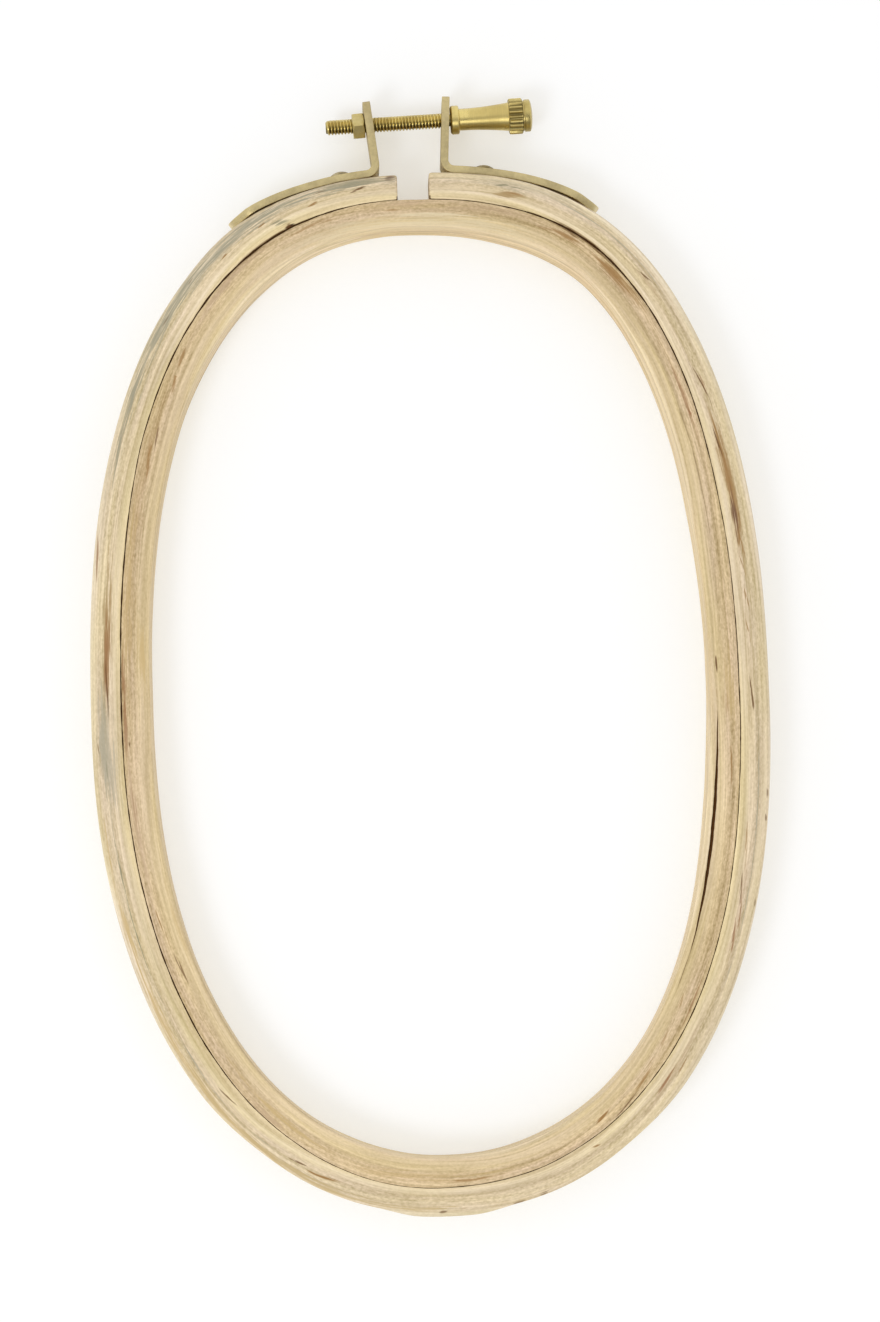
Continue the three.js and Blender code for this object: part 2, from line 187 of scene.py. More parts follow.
def oval(angle, inset):
    """The outline's points at these angles, moved inwards by these insets, and the way it faces there."""
    rings = settings(RINGS)
    shift = OUTER_BOX[0].y + rings.far_reach
    across, along = np.cos(angle), np.sin(angle)
    reach = np.where(along >= 0, rings.clamp_reach, rings.far_reach)
    left = np.where(along >= 0, rings.clamp_left, rings.far_left)
    right = np.where(along >= 0, rings.clamp_right, rings.far_right)
    power = np.where(across < 0, left, right)
    radius = (np.abs(across / rings.half_width) ** power + np.abs(along / reach) ** power) ** (-1 / power)
    x, y = radius * across, radius * along
    facing_x = np.sign(x) * np.abs(x / rings.half_width) ** (power - 1) / rings.half_width
    facing_y = np.sign(y) * np.abs(y / reach) ** (power - 1) / reach
    size = np.hypot(facing_x, facing_y)
    facing = np.stack([facing_x / size, facing_y / size], -1)
    return np.stack([x, y + shift], -1) - np.asarray(inset)[..., None] * facing, facing


# Where the paring of the far end's flanks starts, is full, starts to end and has ended, from the middle
FAR_FLANK = (0.005, 0.014, 0.034, 0.047)


def pared(angle):
    """How much is pared off the outer ring's outside near both its ends and on its far end's flanks."""
    rings = settings(RINGS)
    x = oval(angle, 0 * angle)[0][..., 0]
    depth = np.where(x < 0, rings.left_paring, rings.right_paring)
    end = np.where(x < 0, rings.left_pared, rings.right_pared)
    begin, full, ending, ended = FAR_FLANK
    flank = eased_step(np.abs(x), begin, full) * (1 - eased_step(np.abs(x), ending, ended))
    near = depth * (1 - eased_step(np.abs(x), end, rings.paring_start))
    return np.where(np.sin(angle) < 0, rings.far_paring * flank, near)


def eased_step(value, low, high):
    """From 0 at the low end to 1 at the high one, with both ends eased."""
    share = np.clip((value - low) / (high - low), 0, 1)
    return share * share * (3 - 2 * share)


def rounded(distance, radius):
    """The height of a rounded edge at a distance from its end: 0 there and its radius further in."""
    return np.sqrt(np.clip(radius ** 2 - np.clip(radius - distance, 0, None) ** 2, 0, None))


def face(angle, height):
    """Points at a height above the outside of the outer ring, and the way that the outline faces there."""
    angle = np.asarray(angle, float)
    return oval(angle, pared(angle) - height)


def angle_across(x, inset):
    """The angle at which the outline, moved inwards by an inset, passes a given x at the clamp end."""
    low, high = 0.0, math.pi
    for _ in range(40):
        middle = (low + high) / 2
        if oval(middle, inset)[0][0] > x:
            low = middle
        else:
            high = middle
    return (low + high) / 2


def travelled(angle):
    """How far along the outside of the outer ring each angle is from the ring's right side, in metres."""
    table = np.linspace(0, TURN, 4001)
    points = oval(table, 0 * table)[0]
    steps = np.hypot(*np.diff(points, axis=0).T)
    along = np.concatenate([[0], np.cumsum(steps)])
    turns = np.floor_divide(angle, TURN)
    return along[-1] * turns + np.interp(angle - TURN * turns, table, along)


def outline_length():
    return float(travelled(np.array(TURN - 1e-9)))


# Meshes

def grid_piece(name, points, closed=False, place=None, sharp=math.radians(32)):
    """A piece from rows of points that each run once round it.

    Closed rows join the last to the first; otherwise both ends are closed with a face. place gives each
    point's place in the wood, with one more row than points where the rows are closed.
    """
    rows, columns = points.shape[:2]
    mesh = bpy.data.meshes.new(name)
    spans = rows if closed else rows - 1
    quads, sources = [], []
    for i in range(spans):
        here, following = i * columns, (i + 1) % rows * columns
        for j in range(columns):
            k = (j + 1) % columns
            quads.append([here + j, following + j, following + k, here + k])
            sources.append([(i, j), (i + 1, j), (i + 1, k), (i, k)])
    if not closed:
        around = list(range(columns))
        for row, ordered in ((0, around), (rows - 1, around[::-1])):
            quads.append([row * columns + j for j in ordered])
            sources.append([(row, j) for j in ordered])
    mesh.from_pydata([tuple(p) for p in points.reshape(-1, 3)], [], quads)
    if place is not None:
        held = mesh.attributes.new("place", "FLOAT_VECTOR", "CORNER")
        values = np.array([place[i][j] for face in sources for i, j in face], np.float32)
        held.data.foreach_set("vector", values.ravel())
    shape = bmesh.new()
    shape.from_mesh(mesh)
    if place is None:
        bmesh.ops.remove_doubles(shape, verts=shape.verts, dist=1e-7)
    bmesh.ops.recalc_face_normals(shape, faces=shape.faces)
    shape.to_mesh(mesh)
    shape.free()
    piece = bpy.data.objects.new(name, mesh)
    bpy.context.scene.collection.objects.link(piece)
    smooth(piece, sharp)
    return piece


def smooth(piece, sharp):
    piece.data.shade_smooth()
    piece.data.set_sharp_from_angle(angle=sharp)


def cut(piece, cutters, sharp=math.radians(32)):
    """Cuts the shapes out of the piece and removes them."""
    for cutter in cutters:
        modifier = piece.modifiers.new("cut", "BOOLEAN")
        modifier.operation = "DIFFERENCE"
        modifier.solver = "EXACT"
        modifier.object = cutter
    bpy.context.view_layer.update()
    shown = piece.evaluated_get(bpy.context.evaluated_depsgraph_get())
    finished = bpy.data.meshes.new_from_object(shown)
    piece.modifiers.clear()
    finished.name = piece.name
    piece.data = finished
    for cutter in cutters:
        bpy.data.objects.remove(cutter)
    smooth(piece, sharp)


def turned_points(along, radius, swing):
    """Points about the x axis, from rows of places along it and radii."""
    return np.stack([along, radius * np.cos(swing), radius * np.sin(swing)], -1)


def lathe(name, profile, segments, place=None):
    """A turned piece about its own x axis, from pairs of a place along it and a radius."""
    swing = np.linspace(0, TURN, segments, endpoint=False)
    along, radius = np.array(profile, float).T
    points = turned_points(np.repeat(along[:, None], segments, 1), radius[:, None], swing)
    held = None if place is None else np.broadcast_to(np.array(place), points.shape)
    return grid_piece(name, points, place=held)


def wander(place, wavelength, seed):
    """A slow, even wave that never repeats, between about -1 and 1."""
    total = np.zeros_like(np.asarray(place, float))
    for k in range(1, 5):
        swing = TURN * np.asarray(place) / wavelength * (0.55 + 0.43 * k)
        total += np.sin(swing + seed * 1.7 * k + k * k) / k
    return total / 1.8


# Wooden rings

# The steps round each eased edge of a ring, and the shares of a wall's height where it has points of its own
EDGE_STEPS = 4
WALL_POINTS = (0.035, 0.965)


def section(depth, outer_ease, inner_ease, columns):
    """Once round a ring's cross-section.

    Each point has the face that it keeps to, from 0, outside, to 1, inside, its distance inwards from there,
    its height and the way that it faces.
    """
    corners = [(0, outer_ease, outer_ease, -90), (0, outer_ease, depth - outer_ease, 0),
               (1, inner_ease, depth - inner_ease, 90), (1, inner_ease, inner_ease, 180)]
    points = []
    for number, (share, ease, height, start) in enumerate(corners):
        for step in range(EDGE_STEPS + 1):
            swing = math.radians(start + 90 * step / EDGE_STEPS)
            way = (-math.cos(swing), math.sin(swing))
            inwards = (ease if share == 0 else -ease) + ease * way[0]
            points.append((share, inwards, height + ease * way[1], *way))
        following = corners[(number + 1) % 4]
        last = points[-1]
        if number % 2:
            ends = (last[1], following[1] if following[0] == 0 else -following[1])
            for column in range(1, columns + 1):
                part = column / (columns + 1)
                inwards = ends[0] + (ends[1] - ends[0]) * part
                points.append((share + (following[0] - share) * part, inwards, last[2], 0, last[4]))
        else:
            for part in WALL_POINTS:
                points.append((share, 0, last[2] + (following[2] - last[2]) * part, last[3], 0))
    return np.array(points)


def ring_points(angles, faces, cross, dip=None):
    """The points of a ring and their places in the wood. faces gives both faces' insets along the ring."""
    share, inwards, height = cross.T[:3]
    inset = faces[0][:, None] + (faces[1] - faces[0])[:, None] * share + inwards
    height = np.repeat(height[None], len(angles), 0)
    if dip is not None:
        inset, height = dip(inset, height)
    turned = angles if angles.ndim == 2 else np.repeat(angles[:, None], len(share), 1)
    flat = oval(turned, inset)[0]
    points = np.concatenate([flat, height[..., None]], -1)
    place = np.stack([travelled(turned), inset, height], -1) / MM
    return points, place


def rivet_frame(side):
    """On the outer ring's outside at a rivet: x points out of the wood and z is up."""
    angle = angle_across(side * settings(CLAMP).rivet_place, 0)
    point, facing = face(angle, 0)
    out = Vector((facing[0], facing[1], 0))
    up = Vector((0, 0, 1))
    turn = Matrix((out, up.cross(out), up)).transposed().to_4x4()
    return Matrix.Translation((point[0], point[1], settings(RINGS).depth / 2)) @ turn


def by_place(along, stops):
    """A smooth value along the outline, from pairs of a place in millimetres and a value there."""
    whole = outline_length() / MM
    places, values = zip(*stops)
    fine = np.arange(0, whole, 1.0)
    held = np.interp(fine, places, values, period=whole)
    for _ in range(3):
        held = sum(np.roll(held, shift) for shift in range(-2, 3)) / 5
    return np.interp(along % whole, fine, held, period=whole)


# The bent wood is never quite even. Each list has pairs of a place along the outline and a value there, both
# in millimetres: the inset of the middle of the gap between the rings, the width of that gap, and how far
# inwards of their usual lines the outside of the outer ring and the opening of the inner one are.
GAP_LINE = (
    (0, 5.76), (18, 5.8), (32, 5.95), (45, 6.15), (60, 5.95), (86, 5.65), (99, 5.45), (109, 5.65),
    (120, 6.0), (134, 5.8), (145, 5.65), (154, 6.0), (165, 6.2), (182, 6.22), (203, 5.95), (226, 5.65),
    (244, 5.88), (300, 5.92), (340, 6.08), (378, 6.08), (393, 5.7), (407, 5.36), (420, 5.7), (441, 6.0),
    (461, 5.7), (477, 5.4), (498, 5.56), (522, 5.86))
GAP_WIDTH = (
    (0, 0.2), (14, 0.16), (30, 0.12), (48, 0.2), (68, 0.24), (84, 0.3), (96, 0.42), (106, 0.45),
    (114, 0.28), (126, 0.13), (150, 0.13), (158, 0.22), (166, 0.4), (180, 0.42), (192, 0.34), (212, 0.24),
    (232, 0.14), (246, 0.26), (264, 0.32), (269, 0.1), (276, 0.34), (290, 0.18), (320, 0.22), (345, 0.28),
    (360, 0.15), (390, 0.1), (398, 0.05), (410, 0.12), (450, 0.12), (478, 0.2), (500, 0.14), (530, 0.15))
FACE_LINE = (
    (0, 0), (24, 0), (36, 0.12), (60, 0.25), (75, 0.2), (88, -0.08), (100, -0.12), (110, 0), (183, 0.05),
    (192, 0.33), (204, 0.15), (228, 0.1), (245, 0), (270, 0.05), (290, 0), (300, -0.08), (336, -0.08),
    (350, 0), (362, 0.05), (408, 0), (456, 0.18), (470, 0), (482, -0.1), (505, -0.06), (520, 0))
OPENING_LINE = (
    (0, 0), (12, -0.1), (24, 0.2), (38, 0.5), (60, 0.35), (74, 0.2), (85, -0.05), (97, -0.25), (108, 0.1),
    (120, 0.35), (132, -0.2), (144, -0.5), (156, -0.05), (168, 0.5), (180, 0.8), (192, 0.7), (204, 0.45),
    (216, 0.1), (264, 0), (290, 0.2), (330, 0), (372, 0.12), (386, 0.35), (397, 0.2), (408, -0.2),
    (420, -0.15), (432, 0.2), (446, 0.1), (468, -0.35), (484, -0.2), (504, 0.2), (518, 0.5), (530, 0.4))


def gap_faces(along):
    """The insets of the two faces that look at each other across the gap between the rings."""
    narrowest, widest = 0.03, 0.5
    width = by_place(along, GAP_WIDTH) * (0.92 + 0.35 * wander(along, 7, 4)) + 0.035 * wander(along, 2.3, 9)
    middle = by_place(along, GAP_LINE) + 0.03 * wander(along, 17, 6)
    half = np.clip(width, narrowest, widest) / 2
    return (middle - half) * MM, (middle + half) * MM


def gap_closing(along, cross, way):
    """How far the walls lean into the gap below its top, so that the rings meet there and hide the floor."""
    lean_below = settings(RINGS).depth - 0.3 * MM
    left_open = 0.015 * MM
    wall = (cross[:, 3] * way > 0.3) & (cross[:, 2] < lean_below)
    outer, inner = gap_faces(along)
    return np.clip((inner - outer) / 2 - left_open, 0, None)[:, None] * wall[None]


def rivet_recess(side):
    """A cutter for a rivet's hole through the outer ring and for the recess inside that holds its tail."""
    past_inside, recess_floor, past_outside = -0.008, -0.0047, 0.001
    recess_radius, hole_radius = 0.00195, 0.0011
    profile = [(past_inside, 0), (past_inside, recess_radius), (recess_floor, recess_radius),
               (recess_floor, hole_radius), (past_outside, hole_radius), (past_outside, 0)]
    along = float(travelled(angle_across(side * settings(CLAMP).rivet_place, 0))) / MM
    cutter = lathe("hole", profile, 40, place=[along, 3, 5])
    cutter.matrix_world = rivet_frame(side)
    return cutter


def outer_ring():
    """One strip of wood bent round the oval, with sawn ends, pared thinner in places and eased all round."""
    rings = settings(RINGS)
    half = rings.split_width / 2
    insets = np.linspace(-0.0005, 0.007, 26)
    starts = np.array([angle_across(-half, inset) for inset in insets])
    stops = np.array([angle_across(half, inset) for inset in insets]) + TURN
    cross = section(rings.depth, rings.face_ease, rings.gap_ease, 9)
    strip = outline_length() - rings.split_width
    near_end = np.array([0, 0.05, 0.13, 0.25, 0.4, 0.7]) * MM
    evenly_from = 1.4 * MM
    middle = np.linspace(evenly_from, strip - evenly_from, 520)
    runs = np.concatenate([near_end, middle, strip - near_end[::-1]]) / strip
    # The third of the insets is the one beside the ring's outside
    first, last = starts[2], stops[2]
    angles = first + runs * (last - first)
    along = travelled(angles) / MM
    outside = by_place(along, FACE_LINE) * MM + pared(angles)
    inside = gap_faces(along)[0]
    inset = outside[:, None] + (inside - outside)[:, None] * cross[:, 0] + cross[:, 1]
    from_start = np.interp(inset, insets, starts) * (1 - runs[:, None])
    turned = from_start + np.interp(inset, insets, stops) * runs[:, None]
    to_end = np.minimum(runs, 1 - runs) * strip
    eased = rings.end_ease - rounded(to_end, rings.end_ease)
    closing = gap_closing(along, cross, 1)

    def ease_ends(inset, height):
        return inset + closing - eased[:, None] * cross[:, 3], height - eased[:, None] * cross[:, 4]

    points, place = ring_points(turned, (outside, inside), cross, ease_ends)
    piece = grid_piece("outer_ring_wood", points, place=place)
    cut(piece, [rivet_recess(side) for side in (-1, 1)])
    wood = wood_material("outer_wood", OUTER_LAYERS, OUTER_MARKS, start=OUTER_START)
    piece.data.materials.append(wood)
    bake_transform(piece)
    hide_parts("outer_ring")


# The crack in the inner ring's face, in millimetres: its start and end along the ring, its insets there, how
# far it bows inwards between them and half its width
CRACK = (487.0, 543.0, 9.92, 10.1, 0.42, 0.3)

# The points across the crack: how many half widths from its middle, and how many times its depth they go down
CRACK_FOLD = ((-1.08, 0), (-0.8, 1), (0, 1.25), (0.8, 1), (1.08, 0))


def crack_line(along):
    """The inset of the crack's middle and half its width at these places along the ring."""
    begin, end, inset_from, inset_to, bow, half = CRACK
    share = np.clip((along - begin) / (end - begin), 0, 1)
    straight = inset_from + (inset_to - inset_from) * share
    line = straight + bow * np.sin(math.pi * share) + 0.04 * wander(along, 9, 3)
    ragged = 0.88 + 0.1 * wander(along, 5, 7) + 0.08 * wander(along, 1.9, 3)
    return line * MM, half * MM * np.sin(math.pi * share) ** 1.3 * ragged


def inner_ring():
    """The closed ring of wood inside the other, with the crack folded down into its face."""
    rings = settings(RINGS)
    outside = rings.outer_wall + rings.ring_gap
    cross = section(rings.depth, rings.gap_ease, rings.face_ease, 13)
    turns = np.linspace(0, TURN - 1e-9, 2001)
    start = float(np.interp(INNER_START * MM, travelled(turns), turns))
    angles = start + np.linspace(0, TURN, 540, endpoint=False)
    along = travelled(angles) / MM
    uneven = by_place(along, OPENING_LINE) + 0.02 * wander(along, 23, 5)
    inner_face = outside + rings.inner_wall + uneven * MM
    closing = gap_closing(along, cross, -1)
    # The points of the top face that are nearest the opening are drawn together round the crack
    top = np.nonzero((cross[:, 4] == 1) & (cross[:, 3] == 0))[0]
    lips = top[-len(CRACK_FOLD):]
    line, opening = crack_line(along)
    fading = 6
    near = np.clip(np.minimum(along - CRACK[0] + fading, CRACK[1] + fading - along) / fading, 0, 1)
    deepest = 0.7 * MM
    sunk = np.minimum(2.5 * opening, deepest)

    def split(inset, height):
        inset, height = inset - closing, height.copy()
        for column, (aside, down) in zip(lips, CRACK_FOLD):
            target = line + aside * (opening + 0.04 * MM)
            inset[:, column] = inset[:, column] * (1 - near) + target * near
            height[:, column] -= down * sunk
        return inset, height

    points, place = ring_points(angles, (gap_faces(along)[1], inner_face), cross, split)
    again = place[:1].copy()
    again[..., 0] += outline_length() / MM
    piece = grid_piece("inner_ring_wood", points, closed=True, place=np.concatenate([place, again]))
    wood = wood_material("inner_wood", INNER_LAYERS, INNER_MARKS, start=INNER_START, cracked=True)
    piece.data.materials.append(wood)
    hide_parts("inner_ring")
    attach(piece, "inner")


# Brass strips

# Each tab: its side, how far from the middle it stands, how it leans, the height of the screw's hole above
# its bend, its length above its bend, the length of its foot, how far the foot's tip is lifted, and its body
TABS = {
    "left": {"side": -1, "stand": 0.007, "lean": math.radians(6.6), "hole_rise": 0.00819, "length": 0.0124,
             "foot": 0.0284, "lift": 0.0003, "body": "hoop"},
    "right": {"side": 1, "stand": 0.00614, "lean": math.radians(3.2), "hole_rise": 0.00835, "length": 0.0126,
              "foot": 0.0289, "lift": 0.0005, "body": "free_end"},
}


def tab_frame(tab):
    """Where a tab stands, seen from above: its bend, the way it points and the way its inner face looks."""
    clamp = settings(CLAMP)
    side, lean = tab["side"], tab["lean"]
    bend_middle = clamp.bend_inside + clamp.strip_thickness / 2
    up = np.array([side * math.sin(lean), math.cos(lean)])
    inwards = np.array([-side * math.cos(lean), math.sin(lean)])
    foot_angle = angle_across(side * (tab["stand"] + bend_middle), 0)
    bend, facing = face(foot_angle, clamp.contact_gap + clamp.strip_thickness + clamp.bend_inside)
    hole = face(foot_angle, clamp.fit_gap + clamp.strip_thickness + clamp.bend_inside)[0]
    hole = hole + inwards * bend_middle + up * tab["hole_rise"]
    return {"up": up, "inwards": inwards, "foot_angle": foot_angle, "facing": facing, "bend": bend,
            "hole": hole, "bend_middle": bend_middle}


def strip_path(tab):
    """The middle line of a strip from its foot's tip to its tab's end, and the way its upper face looks."""
    clamp = settings(CLAMP)
    at = tab_frame(tab)
    side = tab["side"]
    foot_points, bend_points, tab_points = 90, 24, 30
    angles = at["foot_angle"] - side * np.radians(np.arange(0, 25, 0.05))
    steps = np.hypot(*np.diff(oval(angles, 0 * angles)[0], axis=0).T)
    run = np.concatenate([[0], np.cumsum(steps)])
    tip = float(np.interp(tab["foot"], run, angles))
    foot = np.linspace(tip, at["foot_angle"], foot_points)
    distance = np.abs(oval(foot, 0 * foot)[0][:, 0])
    lift = tab["lift"] * eased_step(distance, clamp.rivet_place, distance[0])
    points, facing = face(foot, clamp.contact_gap + clamp.strip_thickness / 2 + lift)
    start = math.atan2(-at["facing"][1], -at["facing"][0])
    stop = math.atan2(at["inwards"][1], at["inwards"][0])
    sweep = (stop - start + TURN) % TURN if side < 0 else -((start - stop + TURN) % TURN)
    swing = start + sweep * np.linspace(0, 1, bend_points)[1:]
    rays = np.stack([np.cos(swing), np.sin(swing)], -1)
    bend = at["bend"] + rays * at["bend_middle"]
    rise = np.linspace(0, tab["length"], tab_points)[1:, None]
    tab_line = at["bend"] + at["inwards"] * at["bend_middle"] + at["up"] * rise
    line = np.concatenate([points, bend, tab_line])
    looks = np.concatenate([facing, -rays, np.repeat(-at["inwards"][None], len(tab_line), 0)])
    return line, looks


def strip_outline(to_tip, to_end):
    """Half the width of a strip's flat blank: a tapered round tip and a square end with rounded corners."""
    clamp = settings(CLAMP)
    half, nose, taper, corner = clamp.strip_width / 2, clamp.tip_radius, clamp.tip_taper, clamp.tab_corner
    reach = math.hypot(taper - nose, half)
    touch = math.atan2(half, taper - nose) + math.acos(nose / reach)
    touch_at = (nose + nose * math.cos(touch), nose * math.sin(touch))
    tapered = np.interp(to_tip, [touch_at[0], taper], [touch_at[1], half])
    tip_width = np.where(to_tip < touch_at[0], rounded(to_tip, nose), tapered)
    return np.minimum(tip_width, half - corner + rounded(to_end, corner))


def strip_sides():
    """Once round a strip's cross-section: shares of its edge's rounding and of its flat, across and up."""
    sides = []
    for quarter in range(4):
        across = 1 if quarter in (0, 3) else -1
        up = 1 if quarter < 2 else -1
        for step in range(5):
            swing = math.radians(90 * quarter + 22.5 * step)
            sides.append((math.cos(swing), math.sin(swing), across, up))
        if quarter % 2 == 0:
            sides += [(0, up, across * share, up) for share in (0.75, 0.5, 0.25, 0, -0.25, -0.5, -0.75)]
    return sides


def strip_piece(name, tab):
    """The flat blank of a strip, bent along its path."""
    clamp = settings(CLAMP)
    line, looks = strip_path(tab)
    run = np.concatenate([[0], np.cumsum(np.hypot(*np.diff(line, axis=0).T))])
    near_tip = [0.004, 0.03, 0.08, 0.15, 0.25, 0.4, 0.6, 0.85, 1.15, 1.5, 2, 2.6, 3.3, 4.2, 5.3]
    near_tip = np.array(near_tip) * MM
    near_end = run[-1] - near_tip[near_tip < 2.5 * MM][::-1]
    stations = np.concatenate([near_tip, np.arange(5.8 * MM, run[-1] - 2.6 * MM, 0.42 * MM), near_end])
    to_tip, to_end = stations, run[-1] - stations
    width = strip_outline(to_tip, to_end)
    edge = clamp.strip_edge
    thick = clamp.strip_thickness / 2 - edge + rounded(np.minimum(to_tip, to_end), edge)
    middles = np.stack([np.interp(stations, run, line[:, k]) for k in (0, 1)], -1)
    ways = np.stack([np.interp(stations, run, looks[:, k]) for k in (0, 1)], -1)
    ways /= np.hypot(*ways.T)[:, None]
    points = []
    for middle, way, wide, tall in zip(middles, ways, width, thick):
        rounding = min(edge, wide * 0.9, tall)
        for out, rise, across, up in strip_sides():
            above = up * (tall - rounding) + rise * rounding
            aside = across * (wide - rounding) + out * rounding
            points.append((*(middle + way * above), settings(RINGS).depth / 2 + aside))
    return grid_piece(name, np.array(points).reshape(len(stations), -1, 3))


def hole_cutter(radius, depth, chamfer):
    """A round cutter along x with widened mouths, for a drilled hole with its edges broken."""
    thick = settings(CLAMP).strip_thickness / 2
    return lathe("hole", [(-depth, 0), (-depth, radius + depth - thick), (-thick + chamfer, radius),
                          (thick - chamfer, radius), (depth, radius + depth - thick), (depth, 0)], 48)


def brackets():
    """The two bent strips, each with its holes for the screw and for its rivet."""
    clamp = settings(CLAMP)
    screw_room, chamfer = 0.0003, 0.00008
    below, above, rivet_hole = -0.001, 0.004, 0.00105
    brass = strip_brass([(*strip_path(tab)[0][0], settings(RINGS).depth / 2) for tab in TABS.values()])
    for name, tab in TABS.items():
        piece = strip_piece(name + "_bracket_brass", tab)
        at = tab_frame(tab)
        for_screw = hole_cutter(clamp.screw_radius + screw_room, clamp.strip_thickness, chamfer)
        for_screw.matrix_world = screw_frame(at["hole"], math.atan2(at["inwards"][1], at["inwards"][0]))
        for_rivet = lathe("hole", [(below, 0), (below, rivet_hole), (above, rivet_hole), (above, 0)], 36)
        for_rivet.matrix_world = rivet_frame(tab["side"])
        cut(piece, [for_screw, for_rivet])
        piece.data.materials.append(brass)
        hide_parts(name + "_bracket")
        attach(piece, tab["body"])


def rivets():
    """A rivet through each strip and the wood, with a dome outside and its tail in the recess inside."""
    clamp = settings(CLAMP)
    brass = rivet_brass()
    under_head, shank, rim = 0.00004, 0.001, 0.00012
    seat = clamp.contact_gap + clamp.strip_thickness + under_head
    tail_sunk, tail_thick, tail_radius = 0.0006, 0.0006, 0.0017
    head, height = clamp.rivet_head, clamp.rivet_rise - rim
    dome = (head ** 2 + height ** 2) / (2 * height)
    opening = math.asin(head / dome)
    for name, tab in TABS.items():
        angle = np.asarray(angle_across(tab["side"] * clamp.rivet_place, 0))
        tail = float(pared(angle)) - settings(RINGS).outer_wall + tail_sunk
        profile = [(tail, 0), (tail, tail_radius - 0.0004), (tail + 0.0001, tail_radius - 0.0001),
                   (tail + 0.00025, tail_radius), (tail + tail_thick, tail_radius),
                   (tail + tail_thick, shank), (seat, shank), (seat, head - rim)]
        for step in range(13):
            swing = opening * (1 - step / 12)
            profile.append((seat + rim + height - dome + dome * math.cos(swing), dome * math.sin(swing)))
        piece = lathe(name + "_rivet_brass", profile, 48)
        piece.matrix_world = rivet_frame(tab["side"])
        piece.data.materials.append(brass)
        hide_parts(name + "_rivet")
        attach(piece, tab["body"])


# Screw and nut

def screw_line():
    """The centres of the two tabs' holes and the angle of the line through them, seen from above."""
    left, right = tab_frame(TABS["left"])["hole"], tab_frame(TABS["right"])["hole"]
    return left, right, math.atan2(right[1] - left[1], right[0] - left[0])


def seat_distance(slant, radius):
    """How far along the screw a round face rests from the middle of a slanted tab."""
    clamp = settings(CLAMP)
    flat = clamp.strip_thickness / 2 / math.cos(slant)
    return flat + radius * math.tan(abs(slant)) + clamp.contact_gap / 2


def screw_frame(hole, angle):
    """At a hole's centre, halfway up the ring, with x along the screw."""
    middle = (hole[0], hole[1], settings(RINGS).depth / 2)
    return Matrix.Translation(middle) @ Matrix.Rotation(angle, 4, "Z")


def thread_rows(swing, seat, root, crest):
    """The helical thread, from the bevelled tail of the shank to the plain neck at its seat."""
    clamp = settings(CLAMP)
    pitch, tail = clamp.thread_pitch, seat - clamp.shank_length
    tail_radius, least, neck = crest - 0.0004, 0.0009, seat - 0.0004
    # Where the thread's profile turns, as shares of its pitch, and the radius there
    ridge = ((0, root), (0.34, crest), (0.54, crest), (0.88, root))
    rows = [(np.full(len(swing), tail), np.zeros(len(swing)))]
    for turn in range(-1, int(clamp.shank_length / pitch) + 2):
        for offset, radius in ridge:
            along = tail + (turn + offset + swing / TURN) * pitch
            bevelled = np.minimum(tail_radius + (along - tail) * 0.9, crest)
            held = np.minimum(radius, np.clip(bevelled, least, None))
            held = np.where(along > neck, root, held)
            rows.append((np.clip(along, tail, seat), np.where(along < tail, tail_radius, held)))
    return rows


def barrel_profile(seat, root):
    """The flange and the flared barrel, as pairs of a place along the screw and a radius."""
    clamp = settings(CLAMP)
    flange, start = clamp.flange_radius, seat + clamp.flange_thickness
    profile = [(seat, root), (seat, flange - 0.0004), (seat + 0.0001, flange - 0.00018),
               (seat + 0.0003, flange), (start - 0.00028, flange),
               (start - 0.0001, flange - 0.0001), (start, flange - 0.00035),
               (start, 0.00225), (start + 0.00006, 0.0021)]
    narrow, pull, wide, fillet = 0.00212, 0.0021, 0.00278, 0.00006
    for step in range(1, 17):
        t = step / 16
        radius = narrow * (1 - t) ** 2 + 2 * pull * t * (1 - t) + wide * t * t
        profile.append((start + fillet + (clamp.barrel_length - fillet) * t, radius))
    return profile


def knurl_rows(start, end, valley, top):
    """The straight ridges of the knurled ring, sunk and bevelled at both its ends."""
    teeth = settings(CLAMP).knurl_teeth
    ridges = np.tile([0, 1, 1, 0], teeth)
    rows = []
    for along, rise in ((start, -0.35), (start + 0.00012, 0.55), (start + 0.0003, 1),
                        (end - 0.0003, 1), (end - 0.00012, 0.55), (end, -0.35)):
        height = ridges * max(rise, 0) + min(rise, 0)
        rows.append((np.full(teeth * 4, along), valley + (top - valley) * height))
    return rows


def cap_profile(start):
    """The groove behind the knurl and the domed cap, as pairs of a place along the screw and a radius."""
    groove, rim, cap = 0.00295, 0.00315, start + 0.00025
    shoulder, dome = cap + 0.001, 0.0006
    profile = [(start, groove), (cap, groove), (cap + 0.00005, 0.00307), (cap + 0.0002, rim),
               (shoulder, rim)]
    for step in range(1, 13):
        t = math.pi / 2 * step / 12
        profile.append((shoulder + dome * math.sin(t), rim * math.cos(t)))
    return profile


